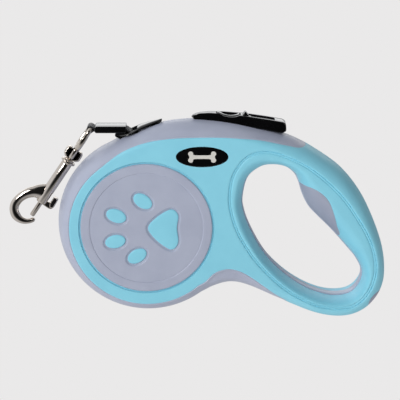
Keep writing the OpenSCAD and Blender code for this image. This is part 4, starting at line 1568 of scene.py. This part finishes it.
def dress_inner_nodes(look: Finishes) -> None:
    """Gives the CAD nodes that stay their materials."""
    kept = {"axle": look.steel, "axle_screw": look.steel, "reel": look.acetal, "spring_cover": look.acetal,
            "brake_lever": look.acetal, "lever_pin": look.steel}
    for name, finish in kept.items():
        data = bpy.data.objects[name].data
        data.materials.clear()
        data.materials.append(finish)


# --------------------------------------------------------------------------------------------------
# Camera, light and floor
# --------------------------------------------------------------------------------------------------
@dataclass
class Studio:
    """Even, bright product light from the left, with pale boards behind and below."""

    target: tuple[float, float, float] = (-53.80, 0.0, 15.42)
    elevation: float = 15.0
    reach: float = 900.0
    lens: float = 152.1
    room: float = 0.66

    def camera(self) -> None:
        """Sets up the camera."""
        data = bpy.data.cameras.new("camera")
        data.lens, data.sensor_width = self.lens, 36.0
        cam = bpy.data.objects.new("camera", data)
        bpy.context.scene.collection.objects.link(cam)
        e = math.radians(self.elevation)
        at = Vector(self.target) * MM
        cam.location = at + Vector((0.0, -math.cos(e), math.sin(e))) * self.reach * MM
        cam.rotation_euler = (at - cam.location).to_track_quat("-Z", "Y").to_euler()
        bpy.context.scene.camera = cam

    @staticmethod
    def fade(tree: bpy.types.NodeTree, value: Any, limits: Sequence[float], levels: Sequence[float]) -> Any:
        """Adds a smooth change from one level to another.

        Args:
            tree: The world's node tree.
            value: Socket of the value that drives the change.
            limits: Values where it starts and ends.
            levels: Levels at those values.

        Returns:
            The socket of the level.
        """
        feeds = {"Value": value, "From Min": limits[0], "From Max": limits[1], "To Min": levels[0],
                 "To Max": levels[1]}
        return add_node(tree, "ShaderNodeMapRange", feeds, interpolation_type="SMOOTHSTEP").outputs[0]

    def panel(self, name: str, at: Sequence[float], size: Sequence[float], power: float,
              mirrored: bool = True) -> None:
        """Adds a soft light panel that faces the leash.

        Args:
            name: Name of the light.
            at: Its place in metres.
            size: Width and height in metres.
            power: Power in watts.
            mirrored: Whether shiny pieces reflect it.
        """
        data = bpy.data.lights.new(name, "AREA")
        data.shape, data.size, data.size_y = "RECTANGLE", size[0], size[1]
        data.energy = power
        obj = bpy.data.objects.new(name, data)
        bpy.context.scene.collection.objects.link(obj)
        obj.location = at
        obj.rotation_euler = (Vector(self.target) * MM - Vector(at)).to_track_quat("-Z", "Y").to_euler()
        obj.visible_camera = False
        obj.visible_glossy = mirrored

    def build(self) -> None:
        """Sets camera, lights, backdrop colour and floor."""
        scene = bpy.context.scene
        scene.view_settings.view_transform = "Standard"
        world = bpy.data.worlds.new("pale_room")
        scene.world = world
        world.use_nodes = True
        tree = world.node_tree
        tree.nodes.clear()
        backdrop = add_node(tree, "ShaderNodeBackground", {"Color": linear("#EAE9E9"), "Strength": 1.0})
        way = add_node(tree, "ShaderNodeTexCoord").outputs["Generated"]
        part = add_node(tree, "ShaderNodeSeparateXYZ", {0: way})
        facing = add_node(tree, "ShaderNodeVectorMath", {0: way, 1: (0.0, -0.966, 0.259)},
                          operation="DOT_PRODUCT")
        front = self.fade(tree, facing.outputs["Value"], (0.48, 0.82), (self.room, 0.015))
        low = self.fade(tree, part.outputs["Z"], (-0.8, 0.05), (0.85, 1.0))
        left = self.fade(tree, part.outputs["X"], (0.85, -0.85), (0.45, 1.25))
        pair = add_node(tree, "ShaderNodeMath", {0: front, 1: low}, operation="MULTIPLY").outputs[0]
        total = add_node(tree, "ShaderNodeMath", {0: pair, 1: left}, operation="MULTIPLY").outputs[0]
        room = add_node(tree, "ShaderNodeBackground", {"Color": linear("#F3F5F8"), "Strength": total})
        seen = add_node(tree, "ShaderNodeLightPath").outputs["Is Camera Ray"]
        mixed = add_node(tree, "ShaderNodeMixShader", {0: seen, 1: room.outputs[0], 2: backdrop.outputs[0]})
        add_node(tree, "ShaderNodeOutputWorld", {"Surface": mixed.outputs[0]})
        self.camera()
        self.panel("key_left", (-0.85, -0.85, 0.55), (0.35, 0.6), 5.9)
        self.panel("front_fill", (-0.25, -1.2, 0.45), (0.7, 0.5), 4.5, mirrored=False)
        self.panel("back_board", (-0.1, 1.1, 0.45), (1.6, 0.6), 3.0)
        floor = bpy.data.meshes.new("pale_floor")
        span, low = 6.0, -0.6
        floor.from_pydata([(-span, -span, low), (span, -span, low), (span, span, low), (-span, span, low)],
                          [],
                          [(0, 1, 2, 3)])
        mat = bpy.data.materials.new("pale_board")
        mat.use_nodes = True
        mat.node_tree.nodes.clear()
        glow = add_node(mat.node_tree, "ShaderNodeEmission", {"Color": linear("#EAE9E9"), "Strength": 1.0})
        add_node(mat.node_tree, "ShaderNodeOutputMaterial", {"Surface": glow.outputs[0]})
        floor.materials.append(mat)
        obj = bpy.data.objects.new("pale_floor", floor)
        scene.collection.objects.link(obj)
        obj.visible_glossy = False


def main() -> None:
    """Builds the leash round its frame."""
    logging.basicConfig(level=logging.INFO, format="%(name)s: %(message)s")
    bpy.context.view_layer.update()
    look = Finishes()
    form = CaseForm()
    Studio().build()
    Case(form, look).build()
    PawDisc(look).build()
    Badge(look).build()
    Nozzle(look).build()
    Brake(look).build()
    TapeEnd(look).build()
    BoltSnap(look).build()
    ReelWorks(look, form).build()
    dress_inner_nodes(look)


if __name__ == "__main__":
    main()
